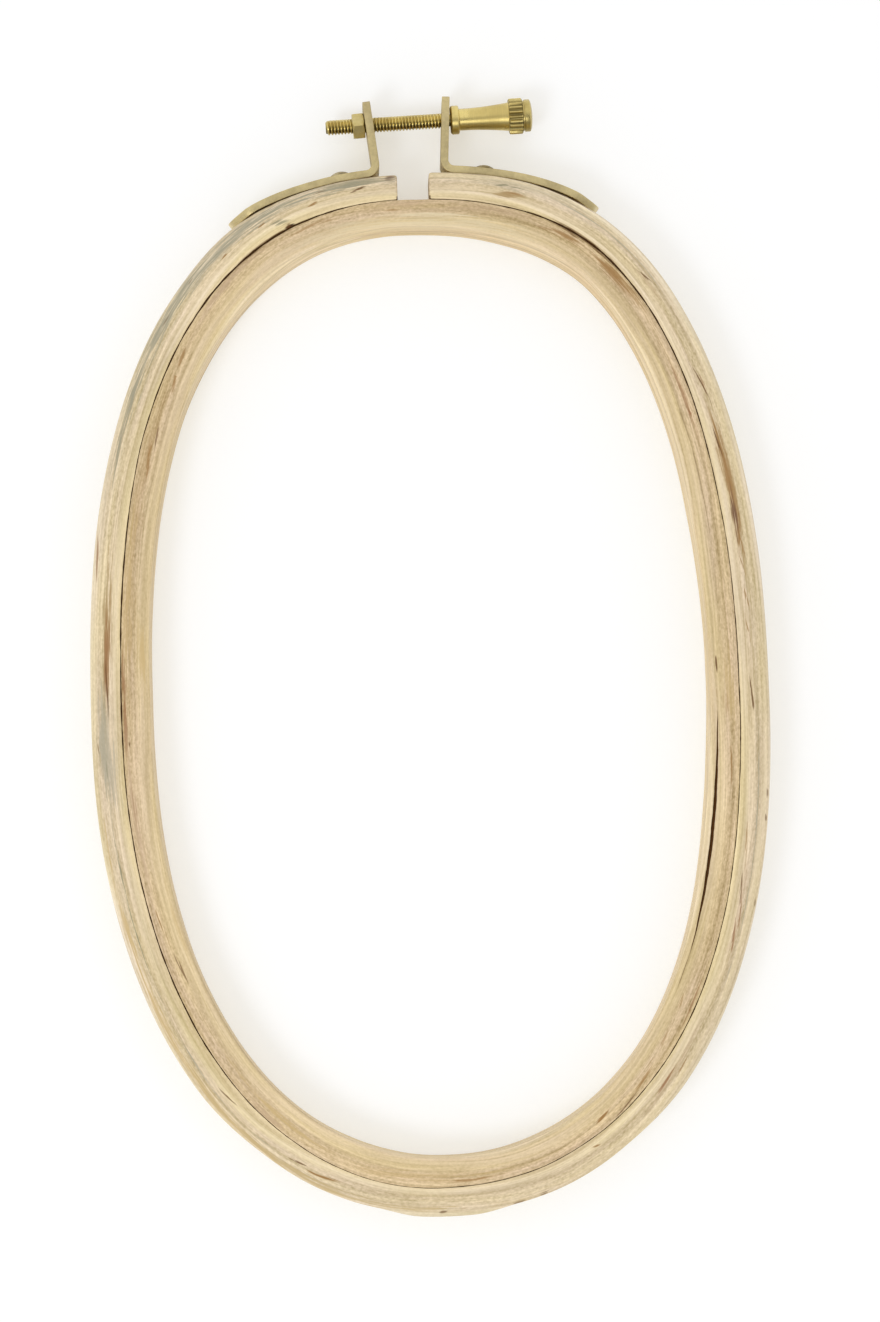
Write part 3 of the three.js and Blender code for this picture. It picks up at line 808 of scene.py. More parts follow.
def thumb_screw():
    """One turned piece: helical thread, flange, flared barrel, straight knurl, groove and domed cap."""
    clamp = settings(CLAMP)
    _, hole, angle = screw_line()
    seat = seat_distance(TABS["right"]["lean"] + angle, clamp.flange_radius)
    around = clamp.knurl_teeth * 4
    swing = np.linspace(0, TURN, around, endpoint=False)
    # The crests stand a little proud, as a rolled thread's do
    crest = clamp.screw_radius + 0.00004
    root = crest - 0.45 * clamp.thread_pitch
    knurl_start = seat + clamp.flange_thickness + clamp.barrel_length
    knurl_end = knurl_start + clamp.knurl_length
    top, valley = clamp.knurl_radius, clamp.knurl_radius - 0.00034

    def plain(profile):
        return [(np.full(around, along), np.full(around, radius)) for along, radius in profile]

    rows = thread_rows(swing, seat, root, crest) + plain(barrel_profile(seat, root))
    rows += knurl_rows(knurl_start, knurl_end, valley, top) + plain(cap_profile(knurl_end))
    along, radius = np.array(rows).transpose(1, 0, 2)
    piece = grid_piece("thumb_screw_brass", turned_points(along, radius, swing), sharp=math.radians(28))
    piece.matrix_world = screw_frame(hole, angle)
    piece.data.materials.append(turned_brass(knurl_start, root, crest, valley, top))
    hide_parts("thumb_screw")
    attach(piece, "screw")


def hex_nut():
    """A small nut with bevelled corners, a little askew on the thread, as play in it allows."""
    clamp = settings(CLAMP)
    hole, _, angle = screw_line()
    half, flat = clamp.nut_thickness / 2, clamp.nut_across_flats / 2
    tilt, roll = math.radians(2.2), math.radians(11.5)
    # The nut turns by 1.2 degrees against the tab as the hoop opens
    room_to_turn = 0.00004
    middle = -seat_distance(TABS["left"]["lean"] - angle - tilt, flat) - room_to_turn - half
    around = 96
    swing = np.linspace(0, TURN, around, endpoint=False)
    six = flat / np.cos((swing + math.pi / 6) % (math.pi / 3) - math.pi / 6)
    bore = clamp.screw_radius + 0.0001
    mouth, mouth_depth, inscribed = bore + 0.00022, 0.0002, flat - 0.00002
    bevel = [(-half + step, inscribed + step * 1.75) for step in (0, 0.0001, 0.0002, 0.0003, 0.00042)]
    other_bevel = [(-along, radius) for along, radius in reversed(bevel)]
    profile = [(-half, mouth), *bevel, *other_bevel, (half, mouth), (half - mouth_depth, bore),
               (-half + mouth_depth, bore)]
    along = np.array([np.full(around, place) for place, _ in profile])
    radius = np.array([np.minimum(six if reach >= inscribed else reach, np.full(around, reach))
                       for _, reach in profile])
    points = turned_points(along, radius, swing)
    piece = grid_piece("hex_nut_brass", points, closed=True, sharp=math.radians(25))
    turn = Matrix.Rotation(tilt, 4, "Z") @ Matrix.Rotation(roll, 4, "X")
    piece.matrix_world = screw_frame(hole, angle) @ Matrix.Translation((middle, 0, 0)) @ turn
    piece.data.materials.append(nut_brass())
    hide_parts("hex_nut")
    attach(piece, "nut")


# Materials

def add(tree, kind, values=None, **options):
    """A shader node with its options and its inputs, each a value or another node's output."""
    made = tree.nodes.new(kind)
    for name, value in options.items():
        setattr(made, name, value)
    for name, value in (values or {}).items():
        if isinstance(value, bpy.types.NodeSocket):
            tree.links.new(value, made.inputs[name])
        else:
            made.inputs[name].default_value = value
    return made


def maths(tree, operation, *values):
    return add(tree, "ShaderNodeMath", dict(enumerate(values)), operation=operation).outputs[0]


def vector_maths(tree, operation, first, second):
    """A vector operation's result: a number for a dot product or a distance, else a vector."""
    made = add(tree, "ShaderNodeVectorMath", {0: first, 1: second}, operation=operation)
    return made.outputs["Value" if operation in ("DOT_PRODUCT", "DISTANCE") else "Vector"]


def mix_colour(tree, factor, first, second, blend="MIX"):
    made = add(tree, "ShaderNodeMix", data_type="RGBA", blend_type=blend)
    for socket, value in zip((made.inputs[0], made.inputs[6], made.inputs[7]), (factor, first, second)):
        if isinstance(value, bpy.types.NodeSocket):
            tree.links.new(value, socket)
        else:
            socket.default_value = (*value, 1) if hasattr(value, "__len__") and len(value) == 3 else value
    return made.outputs[2]


def map_range(tree, value, low, high, to_low=0.0, to_high=1.0, smooth_it=False):
    values = {"Value": value, "From Min": low, "From Max": high, "To Min": to_low, "To Max": to_high}
    kind = "SMOOTHSTEP" if smooth_it else "LINEAR"
    return add(tree, "ShaderNodeMapRange", values, interpolation_type=kind).outputs[0]


def new_material(name):
    """A material and its node tree, which is empty."""
    material = bpy.data.materials.new(name)
    material.use_nodes = True
    material.node_tree.nodes.clear()
    return material, material.node_tree


def new_group(name, inputs, outputs):
    """An empty node group with named sockets, or the one that is there already and None."""
    held = bpy.data.node_groups.get(name)
    if held:
        return held, None, None
    group = bpy.data.node_groups.new(name, "ShaderNodeTree")
    for title, kind, default in inputs:
        socket = group.interface.new_socket(name=title, in_out="INPUT", socket_type=kind)
        if default is not None:
            socket.default_value = default
    for title, kind in outputs:
        group.interface.new_socket(name=title, in_out="OUTPUT", socket_type=kind)
    entry = group.nodes.new("NodeGroupInput")
    leave = group.nodes.new("NodeGroupOutput")
    return group, entry, leave


def wood_grain():
    """Streaks, growth lines, fibres and speckles along a strip of wood. They meet where the strip closes."""
    group, entry, leave = new_group("Bent wood grain", [
        ("Place", "NodeSocketVector", None),
        ("Round Length", "NodeSocketFloat", 541.0),
        ("Streak Length", "NodeSocketFloat", 45.0),
        ("Streak Width", "NodeSocketFloat", 1.0),
        ("Drift", "NodeSocketFloat", 2.6),
    ], [
        ("Streaks", "NodeSocketFloat"), ("Lines", "NodeSocketFloat"), ("Fibres", "NodeSocketFloat"),
        ("Speckles", "NodeSocketFloat"), ("Drifted Inset", "NodeSocketFloat"), ("Tint", "NodeSocketFloat"),
    ])
    if entry is None:
        return group
    parts = add(group, "ShaderNodeSeparateXYZ", {0: entry.outputs["Place"]}).outputs
    turn = maths(group, "DIVIDE", maths(group, "MULTIPLY", parts[0], TURN), entry.outputs["Round Length"])
    radius = maths(group, "DIVIDE", entry.outputs["Round Length"], TURN)
    round_x = maths(group, "MULTIPLY", maths(group, "COSINE", turn), radius)
    round_y = maths(group, "MULTIPLY", maths(group, "SINE", turn), radius)

    def noise(along, across, detail, seed, roughness=0.55, inset=None):
        """4D noise stretched along the strip: each size is how long or wide a mark is."""
        place = add(group, "ShaderNodeCombineXYZ", {
            0: maths(group, "DIVIDE", round_x, along),
            1: maths(group, "DIVIDE", round_y, along),
            2: maths(group, "DIVIDE", parts[1] if inset is None else inset, across),
        }).outputs[0]
        depth = maths(group, "ADD", maths(group, "DIVIDE", parts[2], across), seed)
        return add(group, "ShaderNodeTexNoise", {
            "Vector": place, "W": depth, "Scale": 1.0, "Detail": detail, "Roughness": roughness},
            noise_dimensions="4D").outputs[0]

    slow = maths(group, "SUBTRACT", noise(along=48.0, across=11.0, detail=1.0, seed=3.0), 0.5)
    drifted = maths(group, "ADD", parts[1], maths(group, "MULTIPLY", slow, entry.outputs["Drift"]))
    streak_length, streak_width = entry.outputs["Streak Length"], entry.outputs["Streak Width"]
    streaks = noise(streak_length, streak_width, detail=2.0, seed=11.0, inset=drifted)
    lines = noise(along=90.0, across=0.34, detail=1.0, seed=23.0, roughness=0.5, inset=drifted)
    fibres = noise(along=7.0, across=0.26, detail=2.0, seed=31.0, roughness=0.6)
    speckles = noise(along=0.7, across=0.3, detail=1.0, seed=47.0, roughness=0.5)
    tint = noise(along=30.0, across=1.7, detail=2.0, seed=59.0, roughness=0.5, inset=drifted)
    for name, value in (("Streaks", streaks), ("Lines", lines), ("Fibres", fibres), ("Speckles", speckles),
                        ("Drifted Inset", drifted), ("Tint", tint)):
        group.links.new(value, leave.inputs[name])
    return group


def wood_mark():
    """A soft-edged lens with ragged ends in the wood: a streak, fleck, slit or stain. It fades with depth."""
    group, entry, leave = new_group("Wood mark", [
        ("Place", "NodeSocketVector", None),
        ("Centre", "NodeSocketVector", None),
        ("Along", "NodeSocketVector", (0.1, 0.0, 0.0)),
        ("Across", "NodeSocketVector", (0.0, 1.0, 0.0)),
        ("Depth", "NodeSocketFloat", 0.0),
        ("Torn", "NodeSocketFloat", 0.0),
        ("Ragged", "NodeSocketFloat", 1.6),
        ("Softness", "NodeSocketFloat", 0.5),
    ], [("Mask", "NodeSocketFloat")])
    if entry is None:
        return group
    parts = entry.outputs
    away = vector_maths(group, "SUBTRACT", parts["Place"], parts["Centre"])
    total = parts["Depth"]
    for name in ("Across", "Along"):
        share = vector_maths(group, "DOT_PRODUCT", away, parts[name])
        total = maths(group, "MULTIPLY_ADD", share, share, total)
    root = maths(group, "SQRT", total, 0.5)
    edge = maths(group, "MULTIPLY_ADD", parts["Torn"], parts["Ragged"], root)
    core = maths(group, "SUBTRACT", 1.0, parts["Softness"])
    mask = map_range(group, edge, core, 1.0, 1.0, 0.0, True)
    group.links.new(mask, leave.inputs["Mask"])
    return group


# Each mark is this much longer and wider than it is written, to make room for its soft edge
MARK_STRETCH = 1.08
MARK_SPREAD = 1.3


def mark_mask(tree, place, depth, torn, start, stop, half, softness):
    """The mask of one mark from its start to its stop, each given as a place along the ring and an inset."""
    run = math.dist(start, stop) / 2 * MARK_STRETCH
    turn = math.atan2(stop[1] - start[1], stop[0] - start[0])
    mark = add(tree, "ShaderNodeGroup", node_tree=wood_mark())
    for name, source in (("Place", place), ("Depth", depth), ("Torn", torn)):
        if isinstance(source, bpy.types.NodeSocket):
            tree.links.new(source, mark.inputs[name])
    mark.inputs["Centre"].default_value = ((start[0] + stop[0]) / 2, (start[1] + stop[1]) / 2, 0)
    mark.inputs["Along"].default_value = (math.cos(turn) / run, math.sin(turn) / run, 0)
    mark.inputs["Across"].default_value = (-math.sin(turn) / half, math.cos(turn) / half, 0)
    mark.inputs["Softness"].default_value = softness
    mark.inputs["Ragged"].default_value = 1.0 + 3.0 * softness ** 2
    return mark.outputs[0]


# Layers of each ring from its outside inwards: inset in millimetres, colour, and how speckled the wood is
OUTER_LAYERS = (
    (0.2, (0.72, 0.61, 0.42), 0.5),
    (1.0, (0.70, 0.575, 0.375), 0.7),
    (1.9, (0.655, 0.53, 0.34), 1.0),
    (2.6, (0.625, 0.505, 0.32), 1.2),
    (3.4, (0.66, 0.53, 0.34), 1.0),
    (4.1, (0.69, 0.56, 0.355), 0.6),
    (4.7, (0.75, 0.62, 0.395), 0.4),
    (5.6, (0.74, 0.60, 0.36), 0.5),
)
INNER_LAYERS = (
    (6.1, (0.60, 0.455, 0.265), 1.2),
    (7.0, (0.605, 0.455, 0.265), 1.3),
    (8.2, (0.605, 0.46, 0.27), 1.2),
    (8.8, (0.605, 0.465, 0.27), 0.9),
    (9.3, (0.66, 0.515, 0.30), 0.6),
    (10.3, (0.65, 0.51, 0.30), 0.5),
    (10.9, (0.70, 0.55, 0.325), 0.5),
    (11.5, (0.75, 0.61, 0.39), 0.4),
)

# Marks in the wood. Each has its start and end along the ring, its insets there and half its width, all in
# millimetres, and its softness, its colour and its strength. Places count on from each ring's own start.
OUTER_START = 140.0
OUTER_MARKS = (
    (-6, 26, 3.2, 3.4, 0.9, 0.9, "sand", 0.5),
    (-4.5, 5.0, 2.9, 3.9, 0.16, 0.6, "bark", 0.85),
    (10, 15, 3.1, 3.9, 0.12, 0.7, "brown", 0.7),
    (16, 22, 2.8, 3.9, 0.15, 0.7, "brown", 0.75),
    (17, 33, 2.6, 3.5, 0.35, 0.9, "sand", 0.8),
    (23, 28, 3.0, 4.0, 0.13, 0.7, "brown", 0.7),
    (26, 34, 2.6, 3.8, 0.2, 0.7, "brown", 0.75),
    (25, 60, 3.25, 3.7, 0.85, 0.6, "brown", 0.75),
    (30, 54, 3.35, 3.7, 0.6, 0.8, "brown", 0.6),
    (31, 41, 3.5, 3.75, 0.5, 0.9, "plum", 0.8),
    (46, 55, 3.5, 4.2, 0.16, 0.6, "bark", 0.8),
    (55, 63, 3.2, 3.5, 0.4, 0.9, "sand", 0.7),
    (58.5, 67.5, 2.8, 3.95, 0.17, 0.6, "bark", 0.85),
    (60, 65, 2.8, 3.1, 0.13, 0.7, "rust", 0.7),
    (80, 92, 2.6, 3.4, 0.35, 0.9, "rose", 0.5),
    (84.3, 89.5, 2.2, 3.05, 0.16, 0.6, "bark", 0.8),
    (78, 112, 1.6, 1.8, 0.12, 0.8, "grey", 0.8),
    (100, 135, 1.3, 1.6, 0.95, 0.9, "grey", 0.35),
    (117.5, 124, 3.1, 3.9, 0.52, 0.5, "brown", 0.9),
    (112, 131, 3.3, 3.9, 0.45, 0.9, "sand", 0.6),
    (120.8, 124.4, 1.5, 2.3, 0.16, 0.7, "blue_grey", 0.8),
    (118, 121, 1.8, 1.9, 0.12, 0.7, "blue_grey", 0.6),
    (143.4, 146.6, 1.2, 1.5, 0.55, 0.7, "plum", 0.85),
    (143, 156, 1.5, 1.7, 0.7, 0.8, "blue_grey", 0.75),
    (149, 162, 1.6, 1.7, 0.85, 0.7, "blue_grey", 0.7),
    (158, 176, 1.6, 1.4, 0.6, 0.8, "blue_grey", 0.75),
    (166, 188, 1.55, 1.6, 0.8, 0.7, "blue_grey", 0.7),
    (180, 234, 1.65, 1.35, 0.8, 0.7, "blue_grey", 0.75),
    (144, 234, 1.7, 1.5, 1.2, 0.8, "grey", 0.6),
    (190, 192.5, 1.4, 1.45, 0.16, 0.7, "bark", 0.5),
    (199, 203, 1.55, 1.5, 0.14, 0.7, "bark", 0.45),
    (158, 161, 1.75, 1.7, 0.14, 0.7, "bark", 0.45),
    (149.6, 153.2, 2.4, 3.3, 0.2, 0.6, "bark", 0.85),
    (159.6, 162.6, 3.4, 3.75, 0.15, 0.6, "brown", 0.9),
    (172.2, 174, 2.8, 3.0, 0.13, 0.6, "brown", 0.9),
    (182, 184, 3.0, 3.2, 0.13, 0.6, "brown", 0.9),
    (166.5, 171.5, 5.2, 3.7, 0.6, 0.9, "blue_grey", 0.55),
    (166.3, 169.2, 6.0, 6.05, 0.42, 0.5, "dark", 1.0),
    (167.0, 168.9, 5.4, 5.9, 0.5, 0.7, "bark", 0.8),
    # These two marks are painted shade along the wider stretches of the gap between the rings
    (91, 115, 5.2, 5.45, 0.25, 0.8, "bark", 0.7),
    (163, 185, 6.0, 6.05, 0.22, 0.8, "bark", 0.7),
    # The next eight marks are a painted shadow line where the brass strips lie on the wood
    (103.6, 110, 0.1, 0.14, 0.1, 0.5, "bark", 0.9),
    (109, 117, 0.14, 0.26, 0.11, 0.5, "bark", 0.85),
    (118, 121.5, 0.3, 0.36, 0.09, 0.6, "bark", 0.6),
    (124, 133, 0.42, 0.47, 0.07, 0.7, "bark", 0.5),
    (146, 151.5, 0.79, 0.79, 0.08, 0.6, "bark", 0.8),
    (152.5, 158, 0.79, 0.78, 0.08, 0.6, "bark", 0.75),
    (159, 167.5, 0.77, 0.48, 0.1, 0.6, "bark", 0.9),
    (167, 176, 0.5, 0.12, 0.1, 0.5, "bark", 0.95),
    (243, 256, 0.3, 1.0, 0.16, 0.7, "rust", 0.7),
    (245, 256, 2.6, 3.2, 0.12, 0.7, "brown", 0.75),
    (246, 278, 3.4, 3.1, 0.95, 0.9, "sand", 0.85),
    (251, 282, 3.4, 3.15, 0.75, 0.7, "brown", 0.6),
    (258, 281, 3.3, 3.15, 0.5, 0.7, "rust", 0.6),
    (268, 281.5, 2.9, 3.55, 0.16, 0.6, "bark", 0.8),
    (274, 300, 2.2, 3.4, 1.5, 0.7, "grey", 0.6),
    (275, 294, 1.6, 2.3, 0.9, 0.8, "grey", 0.5),
    (285, 287.5, 1.15, 1.3, 0.12, 0.6, "bark", 0.7),
    (289, 338, 2.5, 2.55, 0.11, 0.8, "blue_grey", 0.65),
    (290, 425, 1.05, 1.4, 0.6, 0.9, "orange", 0.85),
    (345, 420, 1.3, 1.6, 0.6, 0.9, "sand", 0.5),
    (345, 372, 2.5, 2.5, 0.1, 0.8, "grey", 0.7),
    (357.4, 363.5, 3.4, 4.15, 0.15, 0.6, "bark", 0.85),
    (377.3, 382.5, 2.95, 3.65, 0.16, 0.6, "bark", 0.8),
    (381.5, 390, 2.6, 3.5, 0.24, 0.7, "brown", 0.95),
    (409.5, 411.3, 0.8, 1.1, 0.25, 0.6, "bark", 0.7),
    (413, 416, 1.4, 1.6, 0.2, 0.8, "brown", 0.5),
    (423.6, 426.4, 0.75, 0.9, 0.18, 0.6, "bark", 0.6),
    (429.3, 431.6, 0.95, 1.2, 0.18, 0.6, "bark", 0.6),
    (443, 445.2, 4.6, 4.1, 0.18, 0.6, "brown", 0.9),
    (455.3, 457.8, 0.4, 0.55, 0.15, 0.6, "bark", 0.7),
    (459.2, 468.4, 3.1, 3.65, 0.22, 0.7, "rust", 0.85),
    (465.5, 471, 2.2, 2.6, 0.14, 0.7, "brown", 0.7),
    (454, 475, 2.6, 3.4, 0.5, 0.9, "rose", 0.4),
    (476, 545, 1.2, 1.2, 0.6, 0.9, "cream", 0.45),
    (475, 545, 1.6, 2.4, 0.1, 0.8, "grey", 0.7),
    (491, 500, 2.3, 3.5, 0.2, 0.6, "rust", 0.9),
    (496, 505, 2.3, 3.3, 0.17, 0.6, "rust", 0.9),
    (501, 509, 3.0, 3.85, 0.17, 0.6, "bark", 0.8),
    (506, 519, 3.2, 3.95, 0.16, 0.8, "brown", 0.7),
    (485, 515, 2.6, 3.4, 0.6, 0.9, "rose", 0.4),
    (501.8, 503.6, 0.2, 0.4, 0.14, 0.6, "bark", 0.6),
    (518.4, 520, 0.3, 0.5, 0.15, 0.6, "bark", 0.7),
    (523, 525, 0.3, 0.4, 0.12, 0.6, "bark", 0.6),
)
INNER_START = 210.0
INNER_MARKS = (
    (-8, 9, 7.6, 7.6, 0.9, 0.9, "orange", 0.6),
    (4.5, 7.9, 9.9, 10.0, 0.17, 0.5, "bark", 0.9),
    (-1, 1.8, 10.15, 10.2, 0.12, 0.6, "brown", 0.6),
    (26, 66, 8.9, 9.05, 0.13, 0.8, "bark", 0.45),
    (52, 70, 7.2, 7.4, 0.4, 0.9, "rust", 0.55),
    (56.5, 58.5, 7.2, 7.3, 0.2, 0.7, "rust", 0.7),
    (79, 101, 6.95, 7.15, 0.95, 0.8, "brown", 0.55),
    (86, 99, 7.0, 7.2, 0.7, 0.7, "brown", 0.75),
    (101, 111, 6.7, 7.6, 0.7, 0.8, "brown", 0.8),
    # These two marks are painted shade along the wider stretches of the gap between the rings
    (91, 115, 5.75, 5.95, 0.28, 0.8, "bark", 0.7),
    (163, 185, 6.3, 6.3, 0.28, 0.8, "bark", 0.7),
    (110, 135, 6.6, 7.4, 0.8, 0.9, "rose", 0.5),
    (108, 172, 10.6, 10.6, 1.5, 0.9, "cream", 0.65),
    (127, 149, 8.9, 8.5, 0.35, 0.8, "cream", 0.9),
    (128, 150, 9.55, 9.4, 0.15, 0.8, "sand", 0.7),
    (136, 150, 6.5, 7.0, 0.7, 0.9, "rose", 0.6),
    (143, 147, 7.6, 7.7, 0.2, 0.7, "brown", 0.6),
    (158, 169, 7.2, 7.7, 0.3, 0.8, "brown", 0.6),
    (176, 204, 6.9, 7.3, 0.7, 0.9, "rose", 0.6),
    (203, 209, 7.3, 7.7, 0.25, 0.7, "brown", 0.7),
    (207, 214, 7.4, 8.5, 0.3, 0.7, "brown", 0.75),
    (220.5, 227.5, 7.9, 8.6, 0.2, 0.6, "bark", 0.65),
    (223, 234, 7.0, 8.4, 0.35, 0.7, "brown", 0.7),
    (198, 277, 7.4, 7.3, 1.0, 0.9, "brown", 0.22),
    (238, 274, 6.9, 7.2, 0.8, 0.9, "orange", 0.6),
    (261, 276, 9.4, 10.6, 0.8, 0.9, "orange", 0.75),
    (268, 292, 6.3, 6.7, 0.38, 0.8, "rust", 0.75),
    (284.8, 287, 7.2, 7.35, 0.2, 0.6, "bark", 0.8),
    (294, 305, 7.0, 7.2, 0.2, 0.7, "rust", 0.75),
    (280, 320, 6.6, 7.6, 0.6, 0.9, "rose", 0.55),
    (310, 340, 10.3, 10.6, 0.4, 0.9, "orange", 0.5),
    (317, 328, 7.1, 8.0, 0.16, 0.7, "brown", 0.85),
    (328.5, 336, 8.0, 8.6, 0.18, 0.7, "bark", 0.7),
    (353, 390, 8.0, 8.1, 0.45, 0.8, "orange", 0.75),
    (362, 374, 6.3, 6.8, 0.6, 0.8, "rose", 0.7),
    (386, 425, 7.4, 7.6, 0.9, 0.9, "orange", 0.5),
    (409, 422.5, 6.5, 6.75, 0.25, 0.7, "brown", 0.8),
    (447, 451.6, 7.6, 8.2, 0.26, 0.6, "brown", 0.95),
    (450.4, 459, 6.05, 6.6, 0.13, 0.6, "bark", 0.75),
    (457, 466, 6.7, 7.5, 0.32, 0.8, "brown", 0.75),
    (467.5, 473, 7.6, 8.2, 0.2, 0.8, "brown", 0.5),
    (475, 487, 6.1, 6.4, 0.25, 0.8, "rust", 0.6),
    (477, 481, 8.1, 8.4, 0.16, 0.7, "brown", 0.6),
    (525, 535.5, 7.3, 7.9, 0.18, 0.7, "brown", 0.85),
    (538, 545, 8.2, 8.6, 0.5, 0.8, "brown", 0.4),
    (480, 492, 10.0, 10.05, 0.09, 0.6, "bark", 0.7),
)


def ramp(tree, value, stops):
    """A colour ramp with these places, colours and alphas."""
    made = add(tree, "ShaderNodeValToRGB", {0: value})
    made.color_ramp.interpolation = "EASE"
    elements = made.color_ramp.elements
    while len(elements) < len(stops):
        elements.new(0.5)
    for element, (place, tone, alpha) in zip(elements, stops):
        element.position = place
        element.color = (*tone, alpha)
    return made.outputs


def grey(tree, value):
    return add(tree, "ShaderNodeCombineColor", {0: value, 1: value, 2: value}).outputs[0]


def warm(tree, value):
    """A level about 1 as a colour: darker is browner and lighter is creamier."""
    green = map_range(tree, value, 0.0, 2.0, -0.08, 2.08)
    blue = map_range(tree, value, 0.0, 2.0, -0.4, 2.4)
    return add(tree, "ShaderNodeCombineColor", {0: value, 1: green, 2: blue}).outputs[0]


def sway(tree, value, reach):
    """A noise value of about one half turned into a change of up to about half this reach, both ways."""
    return maths(tree, "MULTIPLY", maths(tree, "SUBTRACT", value, 0.5), reach)


def gap_shade(tree, place):
    """How much painted shade the walls beside the gap hold: a thin line of it a little below the top."""
    gap_inset = 5.85
    parts = add(tree, "ShaderNodeSeparateXYZ", {0: place}).outputs
    near = maths(tree, "ABSOLUTE", maths(tree, "SUBTRACT", parts[1], gap_inset))
    near = map_range(tree, near, 1.0, 0.7)
    depth = map_range(tree, parts[2], 9.95, 9.8)
    shallow = map_range(tree, parts[2], 9.0, 9.4)
    held = maths(tree, "MULTIPLY", near, depth)
    return maths(tree, "MULTIPLY", held, maths(tree, "MULTIPLY", shallow, 0.95))


def plain_wood(tree, parts, layers):
    """The colour of the wood's layers, tinted and made lighter and darker by its grain."""
    first, last = layers[0][0], layers[-1][0]
    wobble = maths(tree, "ADD", parts["Drifted Inset"], sway(tree, parts["Fibres"], 0.8))
    share = map_range(tree, wobble, first, last)
    stops = [((inset - first) / (last - first), tone, alpha / 2) for inset, tone, alpha in layers]
    base, speckled = ramp(tree, share, stops)
    pale = add(tree, "ShaderNodeRGB").outputs[0]
    pale.default_value = (0.998, 0.992, 1.06, 1)
    golden = add(tree, "ShaderNodeRGB").outputs[0]
    golden.default_value = (1.002, 1.0, 0.93, 1)
    tint = mix_colour(tree, map_range(tree, parts["Tint"], 0.35, 0.65), pale, golden)
    base = mix_colour(tree, 1.0, base, tint, "MULTIPLY")
    even = maths(tree, "ADD", sway(tree, parts["Streaks"], 1.05), sway(tree, parts["Lines"], 0.5))
    rough_part = maths(tree, "ADD", sway(tree, parts["Fibres"], 1.0), sway(tree, parts["Speckles"], 1.3))
    even = maths(tree, "ADD", even, maths(tree, "MULTIPLY", rough_part, speckled))
    level = maths(tree, "ADD", 1.0, even)
    return mix_colour(tree, 1.0, base, warm(tree, level), "MULTIPLY")


def marked_wood(tree, parts, place, base, marks, start):
    """The wood's colour with its marks, torn along the fibres and fading below the top face."""
    tones = settings(WOOD)
    whole = outline_length() / MM
    top, fading = 10.0, 5.0
    torn = add(tree, "ShaderNodeCombineXYZ", {1: sway(tree, parts["Fibres"], 0.7)}).outputs[0]
    shaken = vector_maths(tree, "ADD", place, torn)
    torn = maths(tree, "SUBTRACT", parts["Fibres"], 0.5)
    down = add(tree, "ShaderNodeSeparateXYZ", {0: place}).outputs[2]
    down = maths(tree, "DIVIDE", maths(tree, "SUBTRACT", top, down), fading)
    depth = maths(tree, "MULTIPLY", down, down)
    mottled = map_range(tree, parts["Fibres"], 0.35, 0.65, 0.95, 0.45)
    for begin, end, inset_from, inset_to, half, softness, tone, strength in marks:
        if (begin + end) / 2 < start:
            begin, end = begin + whole, end + whole
        ends = (begin, inset_from), (end, inset_to)
        mask = mark_mask(tree, shaken, depth, torn, *ends, half * MARK_SPREAD, softness)
        held = maths(tree, "MULTIPLY", mask, mottled if tone == "blue_grey" else strength)
        base = mix_colour(tree, held, base, getattr(tones, tone))
    return base


def cracked_wood(tree, place, base):
    """The wood's colour with the inside of the crack darkened: painted shade."""
    begin, end, inset_from, inset_to, bow, half = CRACK
    inset = (inset_from + inset_to + bow) / 2
    past_end = 4
    ends = (begin - past_end, inset), (end + past_end, inset)
    mask = mark_mask(tree, place, 0.0, 0.0, *ends, bow / 2 + half, 0.1)
    inside = map_range(tree, add(tree, "ShaderNodeSeparateXYZ", {0: place}).outputs[2], 9.96, 9.86)
    return mix_colour(tree, maths(tree, "MULTIPLY", mask, inside), base, settings(WOOD).bark)


def wood_material(name, layers, marks, start, cracked=False):
    """Bare bent wood: layers across the strip, streaks, fibres and speckles along it, its own marks, and
    painted shade by the gap and in the crack.
    """
    material, tree = new_material(name)
    place = add(tree, "ShaderNodeAttribute", attribute_name="place").outputs["Vector"]
    grain = add(tree, "ShaderNodeGroup", node_tree=wood_grain())
    tree.links.new(place, grain.inputs["Place"])
    grain.inputs["Round Length"].default_value = outline_length() / MM
    parts = grain.outputs
    base = plain_wood(tree, parts, layers)
    base = marked_wood(tree, parts, place, base, marks, start)
    # Painted shade in the bark colour on the walls beside the gap between the rings
    base = mix_colour(tree, gap_shade(tree, place), base, settings(WOOD).bark)
    # Painted shade inside the crack
    if cracked:
        base = cracked_wood(tree, place, base)
    rough = map_range(tree, parts["Fibres"], 0.3, 0.7, 0.58, 0.74)
    fibres = maths(tree, "MULTIPLY", parts["Fibres"], 0.6)
    height = maths(tree, "ADD", fibres, maths(tree, "MULTIPLY", parts["Speckles"], 0.3))
    bump = add(tree, "ShaderNodeBump", {"Height": height, "Strength": 0.5, "Distance": 0.00012}).outputs[0]
    surface = add(tree, "ShaderNodeBsdfPrincipled", {
        "Base Color": base, "Roughness": rough, "Normal": bump, "Specular IOR Level": 0.3})
    add(tree, "ShaderNodeOutputMaterial", {0: surface.outputs[0]})
    return material


def fine_noise(tree, place, detail, roughness):
    """Noise of size 1 at places that are scaled already."""
    values = {"Vector": place, "Scale": 1.0, "Detail": detail, "Roughness": roughness}
    return add(tree, "ShaderNodeTexNoise", values, noise_dimensions="3D").outputs[0]


